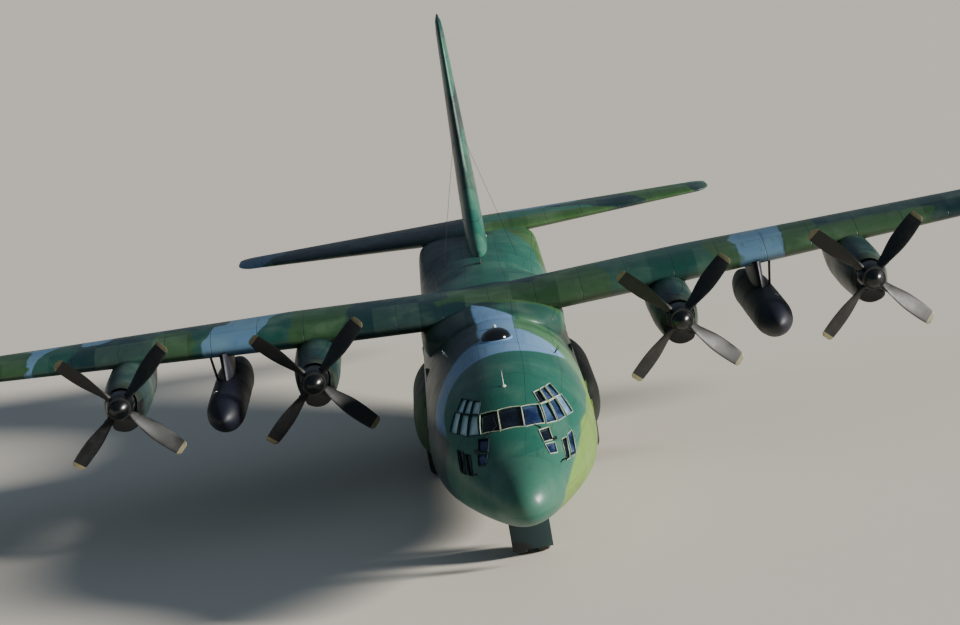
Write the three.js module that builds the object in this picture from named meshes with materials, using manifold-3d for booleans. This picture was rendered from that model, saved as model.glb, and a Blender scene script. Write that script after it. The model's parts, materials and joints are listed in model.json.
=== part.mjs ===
// A four-engine turboprop transport aircraft standing on its wheels, as a half-size model.
// Millimetres, +Z up. The nose points to -Y and the left wing to +X.
// The origin is on the floor, under the middle of the length and the span.
// Sizes are written as the real aircraft's, in metres, and m() turns them into model millimetres.

import * as THREE from "three";
import { mergeVertices } from "three/addons/utils/BufferGeometryUtils.js";
import Module from "manifold-3d";

const wasm = await Module();
wasm.setup();

// Driving dimensions
const SCALE = 0.5;
const LENGTH = 29.79;
const SPAN = 40.41;
const HEIGHT = 11.66;
const DIHEDRAL = 2.5;
const WING_CHORD = 4.88;
const WING_TIP_CHORD = 2.48;
const WING_INCIDENCE = 3;
const PROP_DIAMETER = 4.11;
const MAIN_TYRE = { diameter: 1.42, width: 0.51 };
const NOSE_TYRE = { diameter: 0.99, width: 0.33 };
const WALL = 0.12;
const CARGO_FLOOR = 1.03;
const FLIGHT_DECK_FLOOR = 2.12;

// Clearances: SEAT between fixed pieces, RUN around what moves
const SEAT = 0.0007;
const RUN = 0.014;

const m = (metres) => metres * 1000 * SCALE;
const at = (station) => m(station - LENGTH / 2);
const radians = THREE.MathUtils.degToRad;
const mix = THREE.MathUtils.lerp;

// Stations along the fuselage, in metres aft of the nose tip
const RADOME_END = 1.55;
const NOSE_BULKHEAD = 1.75;
const FORWARD_END = 6.22;
const RAMP_FRONT = 18.78;
const RAMP_HINGE = { station: 18.87, z: 0.8, x: 0.8 };
const DOOR_HINGE = { station: 25.02, z: 2.97 };
const CENTRE_END = 18.72;
const RAMP_END = 21.85;
const DOOR_END = 25.1;
const AFT_END = 27.95;

const paint = (color, roughness = 0.6) =>
  new THREE.MeshStandardMaterial({ color, roughness, metalness: 0.1 });
const GREEN = paint(0x3f6b45);
const DARK_GREEN = paint(0x2c4a35);
const BLACK = paint(0x15171a, 0.45);
const GREY = paint(0x8d9296);
const STEEL = paint(0xb7babd, 0.35);
const RUBBER = paint(0x1b1b1c, 0.85);
const GLASS = new THREE.MeshStandardMaterial({ color: 0x26333c, roughness: 0.08, metalness: 0 });
const INTERIOR = paint(0x6f7d72, 0.8);

const aircraft = new THREE.Group();

// Solids

// A closed three.js geometry as a solid, turned right side out.
function solidOf(geometry) {
  const bare = geometry.clone();
  bare.deleteAttribute("normal");
  bare.deleteAttribute("uv");
  const merged = mergeVertices(bare, 1e-3);
  const triVerts = new Uint32Array(merged.index.array);
  const vertProperties = merged.attributes.position.array;
  if (signedVolume(vertProperties, triVerts) < 0) {
    for (let i = 0; i < triVerts.length; i += 3) {
      [triVerts[i + 1], triVerts[i + 2]] = [triVerts[i + 2], triVerts[i + 1]];
    }
  }
  return new wasm.Manifold(new wasm.Mesh({ numProp: 3, vertProperties, triVerts }));
}

function signedVolume(position, index) {
  let volume = 0;
  const corner = (i) => new THREE.Vector3().fromArray(position, 3 * index[i]);
  for (let i = 0; i < index.length; i += 3) {
    volume += corner(i).dot(corner(i + 1).cross(corner(i + 2)));
  }
  return volume;
}

// A skin through rings of equal point count, given as [x, y, z] in model millimetres, with flat ends.
function loft(rings) {
  const count = rings[0].length;
  const positions = rings.flat(2);
  const index = [];
  for (let r = 0; r + 1 < rings.length; r++) {
    for (let i = 0; i < count; i++) {
      const a = r * count + i;
      const b = r * count + ((i + 1) % count);
      index.push(a, b, b + count, a, b + count, a + count);
    }
  }
  index.push(...cap(rings[0], 0).flatMap(([a, b, c]) => [c, b, a]));
  index.push(...cap(rings.at(-1), (rings.length - 1) * count).flat());
  const geometry = new THREE.BufferGeometry();
  geometry.setAttribute("position", new THREE.Float32BufferAttribute(positions, 3));
  geometry.setIndex(index);
  return solidOf(geometry);
}

// Triangles that close a ring, found in the ring's own plane and turning the same way as it does.
function cap(ring, offset) {
  const centre = new THREE.Vector3(...ring[0]);
  const points = ring.map((p) => new THREE.Vector3(...p).sub(centre));
  const normal = new THREE.Vector3();
  points.forEach((p, i) => normal.add(p.clone().cross(points[(i + 1) % points.length])));
  const turn = new THREE.Quaternion().setFromUnitVectors(normal.normalize(), new THREE.Vector3(0, 0, 1));
  const flat = points.map((p) => p.applyQuaternion(turn)).map(({ x, y }) => new THREE.Vector2(x, y));
  return THREE.ShapeUtils.triangulateShape(flat, []).map((face) => face.map((i) => i + offset));
}

// A block between two corners, in metres: x across, station along, z up.
function block([x0, x1], [s0, s1], [z0, z1]) {
  const geometry = new THREE.BoxGeometry(Math.abs(m(x1 - x0)), m(s1 - s0), m(z1 - z0));
  geometry.translate(m((x0 + x1) / 2), at((s0 + s1) / 2), m((z0 + z1) / 2));
  return solidOf(geometry);
}

// A prism from an outline of [station, z] points, between two x values.
const sidePrism = (outline, x0, x1) =>
  loft([x0, x1].map((x) => outline.map(([s, z]) => [m(x), at(s), m(z)])));

// A prism from an outline of [x, station] points, between two heights.
const planPrism = (outline, z0, z1) =>
  loft([z0, z1].map((z) => outline.map(([x, s]) => [m(x), at(s), m(z)])));

// A prism from an outline of [x, z] points, between two stations.
const frontPrism = (outline, s0, s1) =>
  loft([s0, s1].map((s) => outline.map(([x, z]) => [m(x), at(s), m(z)])));

// A round bar, straight or tapered, between two points [x, station, z] in metres.
function bar(from, to, r0, r1 = r0, sides = 12, turn = 0) {
  const [a, b] = [from, to].map(([x, s, z]) => new THREE.Vector3(m(x), at(s), m(z)));
  const geometry = new THREE.CylinderGeometry(m(r1), m(r0), a.distanceTo(b), sides);
  const along = b.clone().sub(a).normalize();
  geometry.rotateY(turn);
  geometry.applyQuaternion(new THREE.Quaternion().setFromUnitVectors(new THREE.Vector3(0, 1, 0), along));
  const middle = a.add(b).multiplyScalar(0.5);
  geometry.translate(middle.x, middle.y, middle.z);
  return solidOf(geometry);
}

// The radius of a faceted bore that a faceted shaft of this radius turns in freely.
const boreFor = (radius, sides = 12) => radius / Math.cos(Math.PI / sides) + SEAT;

// A shaft, turned so that its edges lie on the middle of its bore's faces, and the bore itself.
const shaft = (from, to, radius, boreSides = 12) => bar(from, to, radius, radius, 12, Math.PI / boreSides);
const boreBar = (from, to, radius) => bar(from, to, boreFor(radius));

const join = (...solids) => solids.reduce((whole, next) => whole.add(next));
const cut = (solid, ...tools) => tools.reduce((rest, tool) => rest.subtract(tool), solid);

// Adds a solid to the aircraft as a named mesh, with flat shading as cut metal has.
function piece(name, solid, material) {
  const { numProp, vertProperties, triVerts } = solid.getMesh();
  const corners = [];
  for (const v of triVerts) corners.push(...vertProperties.slice(v * numProp, v * numProp + 3));
  const geometry = new THREE.BufferGeometry();
  geometry.setAttribute("position", new THREE.Float32BufferAttribute(corners, 3));
  geometry.computeVertexNormals();
  const mesh = new THREE.Mesh(geometry, material);
  mesh.name = name;
  aircraft.add(mesh);
}

// An oval ring at a station: a flatter curve than an ellipse below its widest line, and above it too
// where the crown is over 2. grow moves the whole ring outwards, or inwards where it is negative.
function oval({ station, x = 0, halfWidth, top, bottom, widest, flatness = 2, crown = 2 }, grow = 0, points = 32) {
  const ring = [];
  for (let i = 0; i < points; i++) {
    const angle = (2 * Math.PI * i) / points;
    const [c, s] = [Math.cos(angle), Math.sin(angle)];
    const power = 2 / (s < 0 ? flatness : crown);
    const across = Math.sign(c) * Math.abs(c) ** power * (halfWidth + grow);
    const height = s < 0 ? widest - bottom + grow : top - widest + grow;
    const up = Math.sign(s) * Math.abs(s) ** power * height;
    ring.push([m(x + across), at(station), m(widest + up)]);
  }
  return ring;
}

// A table row at any station between its neighbours.
function between(rows, station) {
  const i = Math.max(1, rows.findIndex((row) => row.station >= station - 1e-9));
  const [a, b] = [rows[i - 1], rows[i]];
  const share = (station - a.station) / (b.station - a.station);
  return Object.fromEntries(Object.keys(a).map((key) => [key, mix(a[key], b[key], share)]));
}

// The rows of a table from one station to another, with exact ends.
const stretch = (rows, from, to) => [
  between(rows, from),
  ...rows.filter((row) => row.station > from + 0.02 && row.station < to - 0.02),
  between(rows, to),
];

// Fuselage

const FUSELAGE = [
  // station, half width, top, bottom, height of the widest line, flatness of the belly and of the crown
  [0.0, 0.1, 2.38, 2.18, 2.28, 2.0],
  [0.08, 0.28, 2.55, 2.01, 2.28, 2.0],
  [0.3, 0.49, 2.76, 1.83, 2.28, 2.0],
  [0.8, 0.76, 2.97, 1.64, 2.27, 2.0],
  [1.55, 1.06, 3.15, 1.47, 2.27, 2.0],
  [2.45, 1.4, 3.56, 1.29, 2.32, 2.0],
  [3.05, 1.6, 3.97, 1.17, 2.36, 2.0],
  [4.0, 1.85, 4.34, 1.0, 2.4, 2.05],
  [5.0, 2.03, 4.53, 0.82, 2.43, 2.15],
  [6.22, 2.13, 4.6, 0.66, 2.44, 2.25],
  [8.0, 2.16, 4.6, 0.6, 2.44, 2.3],
  [18.72, 2.16, 4.6, 0.6, 2.44, 2.3],
  [19.8, 2.12, 4.6, 0.83, 2.5, 2.3, 2.1],
  [21.85, 2.07, 4.6, 1.48, 2.9, 2.25, 2.4],
  [23.5, 2.01, 4.6, 2.04, 3.4, 2.2, 3.2],
  [25.1, 1.94, 4.6, 2.6, 3.8, 2.1, 4.5],
  [26.6, 1.36, 4.57, 3.12, 4.0, 2.0, 3.2],
  [27.6, 0.72, 4.52, 3.44, 4.0, 2.0, 2.2],
  [27.95, 0.62, 4.5, 3.56, 3.98, 2.0],
  [29.1, 0.36, 4.44, 3.92, 4.16, 2.0],
  [29.79, 0.16, 4.36, 4.1, 4.23, 2.0],
].map(([station, halfWidth, top, bottom, widest, flatness, crown = 2]) => ({
  station, halfWidth, top, bottom, widest, flatness, crown,
}));

const hull = (from, to, grow = 0) =>
  loft(stretch(FUSELAGE, from, to).map((row) => oval(row, grow)));

// Flight deck windows: corners [x, station, z] from the upper inner one round the pane.
// All but the centre pane are repeated on the other side.
const CENTRE_WINDOW = [[-0.26, 3.05, 3.95], [0.26, 3.05, 3.95], [0.26, 2.55, 3.61], [-0.26, 2.55, 3.61]];
const SIDE_WINDOWS = [
  // windscreen and the three panes behind it
  [[0.31, 3.05, 3.94], [0.69, 3.2, 3.88], [0.75, 2.72, 3.55], [0.32, 2.55, 3.6]],
  [[0.77, 3.25, 3.84], [0.92, 3.42, 3.82], [1.06, 2.94, 3.5], [0.83, 2.75, 3.53]],
  [[0.98, 3.48, 3.82], [1.13, 3.73, 3.82], [1.28, 3.3, 3.48], [1.12, 3.0, 3.49]],
  [[1.18, 3.82, 3.83], [1.31, 4.12, 3.81], [1.49, 3.8, 3.44], [1.33, 3.44, 3.46]],
  // three small panes over them
  [[0.66, 3.64, 4.09], [0.78, 3.8, 4.08], [0.87, 3.52, 3.93], [0.74, 3.36, 3.93]],
  [[0.83, 3.87, 4.09], [0.93, 4.05, 4.08], [1.04, 3.8, 3.92], [0.92, 3.6, 3.92]],
  [[0.98, 4.12, 4.08], [1.08, 4.36, 4.06], [1.21, 4.12, 3.88], [1.09, 3.88, 3.9]],
  // two under the windscreen and two tall ones beside the pedals
  [[0.62, 2.46, 3.44], [0.84, 2.62, 3.43], [0.88, 2.33, 3.22], [0.68, 2.16, 3.24]],
  [[0.7, 2.06, 3.17], [0.92, 2.24, 3.15], [0.93, 2.0, 2.98], [0.76, 1.84, 3.01]],
  [[1.11, 2.5, 3.11], [1.21, 2.66, 3.11], [1.2, 2.19, 2.74], [1.11, 2.03, 2.74]],
  [[1.27, 2.78, 3.14], [1.38, 3.02, 3.15], [1.38, 2.59, 2.73], [1.27, 2.34, 2.73]],
];

const CREW_DOOR = { from: 4.96, to: 5.74, sill: 1.315, top: 2.7, hingeX: [1.48, 1.632], knuckle: 0.036 };
const PARATROOP_DOOR = { from: 17.3, to: 18.22, sill: 1.1, top: 2.93 };
const NOSE_WELL = { halfWidth: 0.7, from: 3.0, to: 4.9, top: 1.75, wall: 0.05 };
const WHEEL_WELL = { inner: 1.72, outer: 2.5, from: 12.38, to: 15.56, top: 1.86 };

const rectangle = (door, gap = 0) => [
  [door.from + gap, door.sill + gap],
  [door.to - gap, door.sill + gap],
  [door.to - gap, door.top - gap],
  [door.from + gap, door.top - gap],
];

// The crew door's prism from an outline of [station, z] points. Its ends are square to the slanting
// hinge line, so that the door turns between them with an even gap.
function crewDoorPrism(outline) {
  const { from, to, hingeX } = CREW_DOOR;
  const slope = (hingeX[1] - hingeX[0]) / (to - from);
  const hingeAt = (station) => hingeX[0] + (station - from) * slope;
  return loft([1.1, 2.4].map((x) =>
    outline.map(([station, z]) => [m(x), at(station - (x - hingeAt(station)) * slope), m(z)])));
}

// The block that a window's outline cuts along its own normal.
function windowTool(corners, side) {
  const points = corners.map(([x, station, z]) => new THREE.Vector3(m(side * x), at(station), m(z)));
  const [a, b, c, d] = points;
  const normal = c.clone().sub(a).cross(d.clone().sub(b)).normalize();
  const ring = (offset) => points.map((p) => p.clone().addScaledVector(normal, m(offset)).toArray());
  return loft([ring(-0.2), ring(0.2)]);
}

function windowTools() {
  const sides = [1, -1].flatMap((side) => SIDE_WINDOWS.map((corners) => windowTool(corners, side)));
  return [windowTool(CENTRE_WINDOW, 1), ...sides];
}

// Fixed pins at both ends of a hinge line, and the bores that turn on them in the moving piece.
function hingePins(a, b, radius, length = 0.08, gap = 0.06) {
  const [start, end] = [a, b].map((p) => new THREE.Vector3(...p));
  const along = end.clone().sub(start).normalize();
  const point = (from, distance) => from.clone().addScaledVector(along, distance).toArray();
  const ends = [[start, 1], [end, -1]];
  const pins = ends.map(([p, way]) => shaft(point(p, -way * gap), point(p, way * length), radius));
  const bores = ends.map(([p, way]) => boreBar(point(p, -way * gap), point(p, way * (length + 0.01)), radius));
  return { pins: join(...pins), bores: join(...bores) };
}

function buildForwardFuselage() {
  const skin = hull(RADOME_END, FORWARD_END);
  const room = hull(NOSE_BULKHEAD, FORWARD_END, -WALL);
  const { halfWidth, from, to, top, wall } = NOSE_WELL;
  const wellBox = block([-halfWidth - wall, halfWidth + wall], [from - wall, to + wall], [0.7, top + wall]);
  const wellRoom = block([-halfWidth, halfWidth], [from, to], [0.3, top]);
  const shell = join(cut(skin, room), wellBox.intersect(skin));
  const { from: doorFrom, to: doorTo, sill, hingeX, knuckle } = CREW_DOOR;
  const doorway = crewDoorPrism(rectangle({ ...CREW_DOOR, sill: sill - knuckle }, -RUN));
  const hinge = [[hingeX[0], doorFrom, sill], [hingeX[1], doorTo, sill]];
  const { pins, bores } = hingePins(...hinge, 0.022);
  piece("fuselage_forward", join(cut(shell, wellRoom, doorway, ...windowTools()), pins), GREEN);
  piece("radome", hull(0, RADOME_END), DARK_GREEN);
  const panel = cut(skin, room).intersect(crewDoorPrism(rectangle(CREW_DOOR)));
  piece("crew_door", cut(join(panel, bar(...hinge, knuckle)), bores), GREEN);
}

function buildFlightDeck() {
  const snug = hull(NOSE_BULKHEAD + SEAT, FORWARD_END - SEAT, -WALL - SEAT);
  const loose = hull(NOSE_BULKHEAD + SEAT, FORWARD_END - SEAT, -WALL - 0.045);
  const [low, high] = [FLIGHT_DECK_FLOOR, FLIGHT_DECK_FLOOR + 0.08];
  const floor = block([-2, 2], [1.7, FORWARD_END], [low, high]);
  const stairwell = block([0.85, 2.2], [4.8, FORWARD_END - 0.13], [2, 2.3]);
  const bulkhead = block([-2.2, 2.2], [FORWARD_END - 0.12, FORWARD_END], [low, 4.6]);
  const doorway = block([-0.9, -0.2], [FORWARD_END - 0.2, FORWARD_END + 0.1], [high, 3.95]);
  const panel = sidePrism([[2.3, low], [2.6, low], [2.78, 3.05], [2.78, 3.18], [2.3, 3.2]], -1.05, 1.05);
  const pedestal = block([-0.22, 0.22], [2.55, 3.5], [low, 2.85]);
  const deck = join(cut(floor, stairwell), cut(bulkhead, doorway)).intersect(snug);
  piece("flight_deck", join(deck, join(panel, pedestal).intersect(loose)), INTERIOR);
  for (const [name, x] of [["left", 0.62], ["right", -0.62]]) {
    const base = block([x - 0.2, x + 0.2], [3.4, 3.8], [FLIGHT_DECK_FLOOR + 0.08 + SEAT, 2.55]);
    const cushion = block([x - 0.27, x + 0.27], [3.32, 3.85], [2.55, 2.68]);
    const back = sidePrism([[3.72, 2.6], [3.85, 2.6], [3.98, 3.4], [3.88, 3.4]], x - 0.25, x + 0.25);
    piece(`pilot_seat_${name}`, join(base, cushion, back), INTERIOR);
  }
  const inside = hull(NOSE_BULKHEAD + SEAT, FORWARD_END - SEAT, -WALL - 0.035);
  const band = block([-2.2, 2.2], [NOSE_BULKHEAD + 0.02, 4.55], [FLIGHT_DECK_FLOOR + 0.1, 4.6]);
  piece("flight_deck_glazing", cut(snug, inside).intersect(band), GLASS);
}

function buildCentreFuselage() {
  const skin = hull(FORWARD_END, CENTRE_END);
  const room = hull(FORWARD_END, CENTRE_END, -WALL);
  const { inner, outer, from, to, top } = WHEEL_WELL;
  let shell = cut(skin, room);
  for (const side of [1, -1]) {
    const housing = block([side * (inner - 0.12), side * 2.1], [from - 0.12, to + 0.12], [0.9, top + 0.12]);
    shell = shell.add(housing.intersect(skin));
    shell = cut(shell, block([side * inner, side * (outer + 0.2)], [from, to], [0.3, top]));
    shell = cut(shell, sidePrism(rectangle(PARATROOP_DOOR), side * 1.4, side * 2.4));
  }
  piece("fuselage_centre", cut(shell, wingPanel(-3, 3, SEAT)), GREEN);
  for (const [name, side] of [["left", 1], ["right", -1]]) {
    const panel = sidePrism(rectangle(PARATROOP_DOOR, SEAT), side * 1.4, side * 2.4);
    piece(`paratroop_door_${name}`, cut(skin, room).intersect(panel), GREEN);
  }
  const lining = hull(FORWARD_END + 0.01, CENTRE_END - SEAT, -WALL - SEAT);
  let floor = block([-2.2, 2.2], [FORWARD_END, CENTRE_END], [CARGO_FLOOR - 0.2, CARGO_FLOOR]).intersect(lining);
  for (const side of [1, -1]) {
    const gap = 0.12 + SEAT;
    floor = cut(floor, block([side * (inner - gap), side * 2.2], [from - gap, to + gap], [0.5, 1.2]));
  }
  piece("cargo_floor", floor, GREY);
}

// The rear opening narrows from the ramp to the end of the upper door.
const OPENING_HALF = { ramp: 1.53, end: 0.98 };
const RAMP_FLOOR_END = 1.96;
const RAMP_BACK = 21.66;

function buildAftFuselage() {
  const skin = hull(CENTRE_END, AFT_END);
  const room = hull(CENTRE_END, AFT_END, -WALL);
  const { ramp, end } = OPENING_HALF;
  const opening = (gap) => planPrism([
    [ramp - gap, CENTRE_END - 1], [ramp - gap, RAMP_END], [end - gap, DOOR_END - gap],
    [-end + gap, DOOR_END - gap], [-ramp + gap, RAMP_END], [-ramp + gap, CENTRE_END - 1]], 0.2, 3.1);
  const behind = (gap) => block([-2, 2], [RAMP_FRONT + gap, DOOR_END + 1], [0.2, 3.2]);
  const rearOpening = opening(0).intersect(behind(0));
  let shell = cut(skin, room, rearOpening, tailplanePanel(SEAT));
  const slots = [];
  const lugs = [];
  for (const side of [1, -1]) {
    const { station, z, x } = RAMP_HINGE;
    const pinEnds = (from, to) => [[side * from, station, z], [side * to, station, z]];
    const lug = block([side * (x - 0.06), side * (x + 0.06)], [RAMP_FRONT - 0.04, station + 0.06], [0.68, 0.88]);
    shell = join(shell, lug, shaft(...pinEnds(x - 0.16, x + 0.16), 0.03));
    slots.push(block([side * (x - 0.1), side * (x + 0.1)], [RAMP_FRONT - 0.1, 19.02], [0.4, 0.98]));
    slots.push(boreBar(...pinEnds(x - 0.18, x + 0.18), 0.03));
    const top = DOOR_HINGE;
    const doorPin = [[side * 0.78, top.station, top.z], [side * 1.08, top.station, top.z]];
    const bracket = block([side * 1.03, side * 1.13], [top.station - 0.06, top.station + 0.1], [2.82, top.z + 0.07]);
    shell = join(shell, bracket, shaft(...doorPin, 0.022));
    const doorLug = block([side * 0.8, side * 0.9], [top.station - 0.07, DOOR_END - RUN], [2.75, top.z + 0.07]);
    lugs.push(cut(doorLug, boreBar(...doorPin, 0.022)));
  }
  piece("fuselage_aft", shell, GREEN);

  const rampSide = [
    [RAMP_FRONT + RUN, RAMP_HINGE.z], [RAMP_HINGE.station + 0.04, 0.55], [RAMP_HINGE.station + 0.5, 0.2],
    [RAMP_END - RUN / 2, 0.2], [RAMP_END - RUN / 2, 1.45], [RAMP_BACK, RAMP_FLOOR_END],
    [RAMP_FRONT + RUN, CARGO_FLOOR]];
  const rampBody = sidePrism(rampSide, -2, 2).intersect(opening(RUN)).intersect(skin);
  piece("cargo_ramp", cut(rampBody, ...slots), GREY);

  const doorSide = [
    [RAMP_END + RUN / 2, 0.2], [DOOR_END + 0.3, 0.2], [DOOR_END + 0.3, 3.2], [RAMP_END + RUN / 2, 3.2]];
  const doorBody = cut(skin, room).intersect(opening(RUN)).intersect(sidePrism(doorSide, -2, 2));
  piece("cargo_door", join(doorBody, ...lugs), GREEN);

  piece("tail_cone", cut(hull(AFT_END, LENGTH), tailplanePanel(SEAT), rudderSweep()), DARK_GREEN);
}

// Wing

const WING = {
  break: 5.59,
  leadingEdge: 12.2,
  rootHeight: 4.38,
  tip: SPAN / 2,
  rootThickness: 0.18,
  tipThickness: 0.12,
};
const QUARTER_CHORD = WING.leadingEdge + WING_CHORD / 4;
const FLAP_CHORD = 1.25;

// Leading edge station, chord and thickness of the wing at a distance from the centreline
function wingAt(x) {
  const outboard = Math.max(0, (Math.abs(x) - WING.break) / (WING.tip - WING.break));
  const chord = mix(WING_CHORD, WING_TIP_CHORD, outboard);
  return {
    outboard,
    chord,
    leading: QUARTER_CHORD - chord / 4,
    trailing: QUARTER_CHORD + (3 * chord) / 4,
    height: WING.rootHeight + Math.abs(x) * Math.tan(radians(DIHEDRAL)),
    thickness: mix(WING.rootThickness, WING.tipThickness, outboard),
    incidence: mix(WING_INCIDENCE, 0, outboard),
  };
}

// A cambered aerofoil as [distance along the chord, height], from the trailing edge over the top and back.
function aerofoil(chord, thickness, camber = 0.02, grow = 0, points = 11) {
  const upper = [];
  const lower = [];
  for (let i = 0; i <= points; i++) {
    const t = (1 - Math.cos((Math.PI * i) / points)) / 2;
    const half = 5 * thickness *
      (0.2969 * Math.sqrt(t) - 0.126 * t - 0.3516 * t ** 2 + 0.2843 * t ** 3 - 0.1015 * t ** 4);
    const mean = camber * (t < 0.4 ? (0.8 * t - t * t) / 0.16 : (0.2 + 0.8 * t - t * t) / 0.36);
    const along = t * chord + grow * (2 * t - 1);
    const rise = t > 0 ? grow : 0;
    upper.push([along, chord * (mean + half) + rise]);
    lower.push([along, chord * (mean - half) - rise]);
  }
  return [...upper.reverse(), ...lower.slice(1)];
}

// A wing section as [station, height above the wing's own line], for an end of the tapered panel.
function wingSection(chord, thickness, incidence, grow) {
  const tilt = radians(incidence);
  return aerofoil(chord, thickness, 0.02, grow).map(([along, up]) => {
    const aft = along - chord / 4;
    return [
      QUARTER_CHORD + aft * Math.cos(tilt) + up * Math.sin(tilt),
      -aft * Math.sin(tilt) + up * Math.cos(tilt),
    ];
  });
}

// The wing's outline at a distance from the centreline: straight lines run from the break to the tip.
function wingRing(x, grow = 0) {
  const { outboard, height } = wingAt(x);
  const root = wingSection(WING_CHORD, WING.rootThickness, WING_INCIDENCE, grow);
  const tip = wingSection(WING_TIP_CHORD, WING.tipThickness, 0, grow);
  return root.map(([station, rise], i) => [
    m(x), at(mix(station, tip[i][0], outboard)), m(height + mix(rise, tip[i][1], outboard))]);
}

// The wing between two distances from the centreline, grown by a clearance where it cuts its neighbours.
function wingPanel(from, to, grow = 0) {
  const stops = [from, ...[-WING.break, 0, WING.break].filter((x) => x > from && x < to), to];
  return loft(stops.map((x) => wingRing(x, grow)));
}

// The rounded wing tip: the last rings shrink towards the quarter chord.
function outerPanel(side) {
  const rounding = [
    // share of the tip's own length, share of the chord kept
    [0, 1], [0.4, 0.97], [0.75, 0.86], [1, 0.6],
  ];
  const tipLength = 0.5;
  const rings = [wingRing(side * WING.break)];
  for (const [share, kept] of rounding) {
    const x = WING.tip - tipLength * (1 - share);
    const { leading, chord, height } = wingAt(x);
    const centre = [at(leading + 0.45 * chord), m(height)];
    rings.push(wingRing(side * x).map(([across, along, up]) => [
      across, mix(centre[0], along, kept), mix(centre[1], up, kept)]));
  }
  return loft(rings);
}

const FLAPS = [
  // name, inner end, outer end, flap chord at each end
  ["flap_inner", 2.42, 5.52, FLAP_CHORD, FLAP_CHORD],
  ["flap_outer", 5.66, 11.9, FLAP_CHORD, 1.05],
];
const AILERON = { inner: 12.02, outer: 19.5, chord: [1.02, 0.74] };

const flapOutline = (side, inner, outer, c0, c1, gap = 0) => [
  [side * (inner - gap), wingAt(inner).trailing - c0 - gap],
  [side * (outer + gap), wingAt(outer).trailing - c1 - gap],
  [side * (outer + gap), WING.leadingEdge + 6],
  [side * (inner - gap), WING.leadingEdge + 6],
];

// The height of a line of [x, station, height] points at a station, in metres.
function heightOn(points, station) {
  const i = points.findIndex((p, k) => k > 0 && (p[1] - at(station)) * (points[k - 1][1] - at(station)) <= 0);
  const [a, b] = [points[i - 1], points[i]];
  return mix(a[2], b[2], (at(station) - a[1]) / (b[1] - a[1])) / m(1);
}

// The middle of the wing's thickness and half that thickness, at a station.
function coreAt(x, station) {
  const ring = wingRing(x);
  const nose = (ring.length - 1) / 2;
  const top = heightOn(ring.slice(0, nose + 1), station);
  const bottom = heightOn(ring.slice(nose), station);
  return { middle: (top + bottom) / 2, half: (top - bottom) / 2 };
}

// The aileron's hinge line: its ends as [x, station, z] and the round nose's radius at each end.
function aileronHinge(side, stretched = 0) {
  const { inner, outer, chord } = AILERON;
  return [[inner, chord[0], -1], [outer, chord[1], 1]].map(([x, c, end]) => {
    const station = wingAt(x).trailing - c;
    const { middle, half } = coreAt(x, station);
    return { point: [side * (x + end * stretched), station, middle], radius: half };
  });
}

function buildWing() {
  const centre = wingPanel(-WING.break, WING.break);
  const centreTools = [1, -1].map((side) => {
    const [, inner, outer, c0, c1] = FLAPS[0];
    return planPrism(flapOutline(side, inner, outer, c0, c1, SEAT), 3, 6);
  });
  piece("wing_centre", cut(centre, ...centreTools), GREEN);
  for (const [name, side] of [["left", 1], ["right", -1]]) {
    const outer = outerPanel(side);
    const whole = [centre, outer];
    FLAPS.forEach(([flap, from, to, c0, c1], i) => {
      piece(`${flap}_${name}`, whole[i].intersect(planPrism(flapOutline(side, from, to, c0, c1), 3, 6)), GREEN);
    });
    const { inner, outer: end, chord } = AILERON;
    const [a, b] = aileronHinge(side);
    const [wideA, wideB] = aileronHinge(side, 3 * RUN);
    const nose = bar(a.point, b.point, a.radius, b.radius, 20);
    const room = block([side * (inner - RUN), side * (end + RUN)], [11, 20], [3, 7]);
    const cove = bar(wideA.point, wideB.point, a.radius + RUN, b.radius + RUN, 20).intersect(room);
    const behind = (gap, shift) => planPrism([
      [side * (inner - gap), a.point[1] - shift], [side * (end + gap), b.point[1] - shift],
      [side * (end + gap), WING.leadingEdge + 6], [side * (inner - gap), WING.leadingEdge + 6]], 3, 7);
    const [, from, to, c0, c1] = FLAPS[1];
    const flapTool = planPrism(flapOutline(side, from, to, c0, c1, SEAT), 3, 6);
    const { pins, bores } = hingePins(a.point, b.point, 0.035);
    piece(`wing_outer_${name}`, join(cut(outer, flapTool, behind(RUN, 0.004), cove), pins), GREEN);
    const span = block([side * inner, side * end], [11, 20], [3, 7]);
    const surface = join(behind(0, 0), nose).intersect(span).intersect(outer);
    piece(`aileron_${name}`, cut(surface, bores), GREEN);
  }
}

// Wing root fairing: an arch over the fuselage's shoulders, open where the wing passes through

const FAIRING = [
  // station, half width, top, bottom, widest
  [10.9, 0.9, 4.61, 4.0, 4.3],
  [11.5, 1.55, 4.68, 3.5, 4.05],
  [12.2, 1.94, 4.76, 3.1, 4.0],
  [13.5, 2.03, 4.8, 2.95, 3.95],
  [16.4, 2.03, 4.76, 2.95, 3.95],
  [17.6, 1.8, 4.68, 3.3, 4.0],
  [18.6, 1.0, 4.61, 4.0, 4.3],
].map(([station, halfWidth, top, bottom, widest]) => ({
  station, halfWidth, top, bottom, widest, flatness: 3,
}));

function buildFairing() {
  const arch = loft(FAIRING.map((row) => oval(row, 0, 28)));
  const body = hull(FAIRING[0].station - 0.1, CENTRE_END, SEAT);
  piece("wing_fairing", cut(arch, body, wingPanel(-3, 3, SEAT)), GREEN);
}

// Engines and propellers

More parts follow.
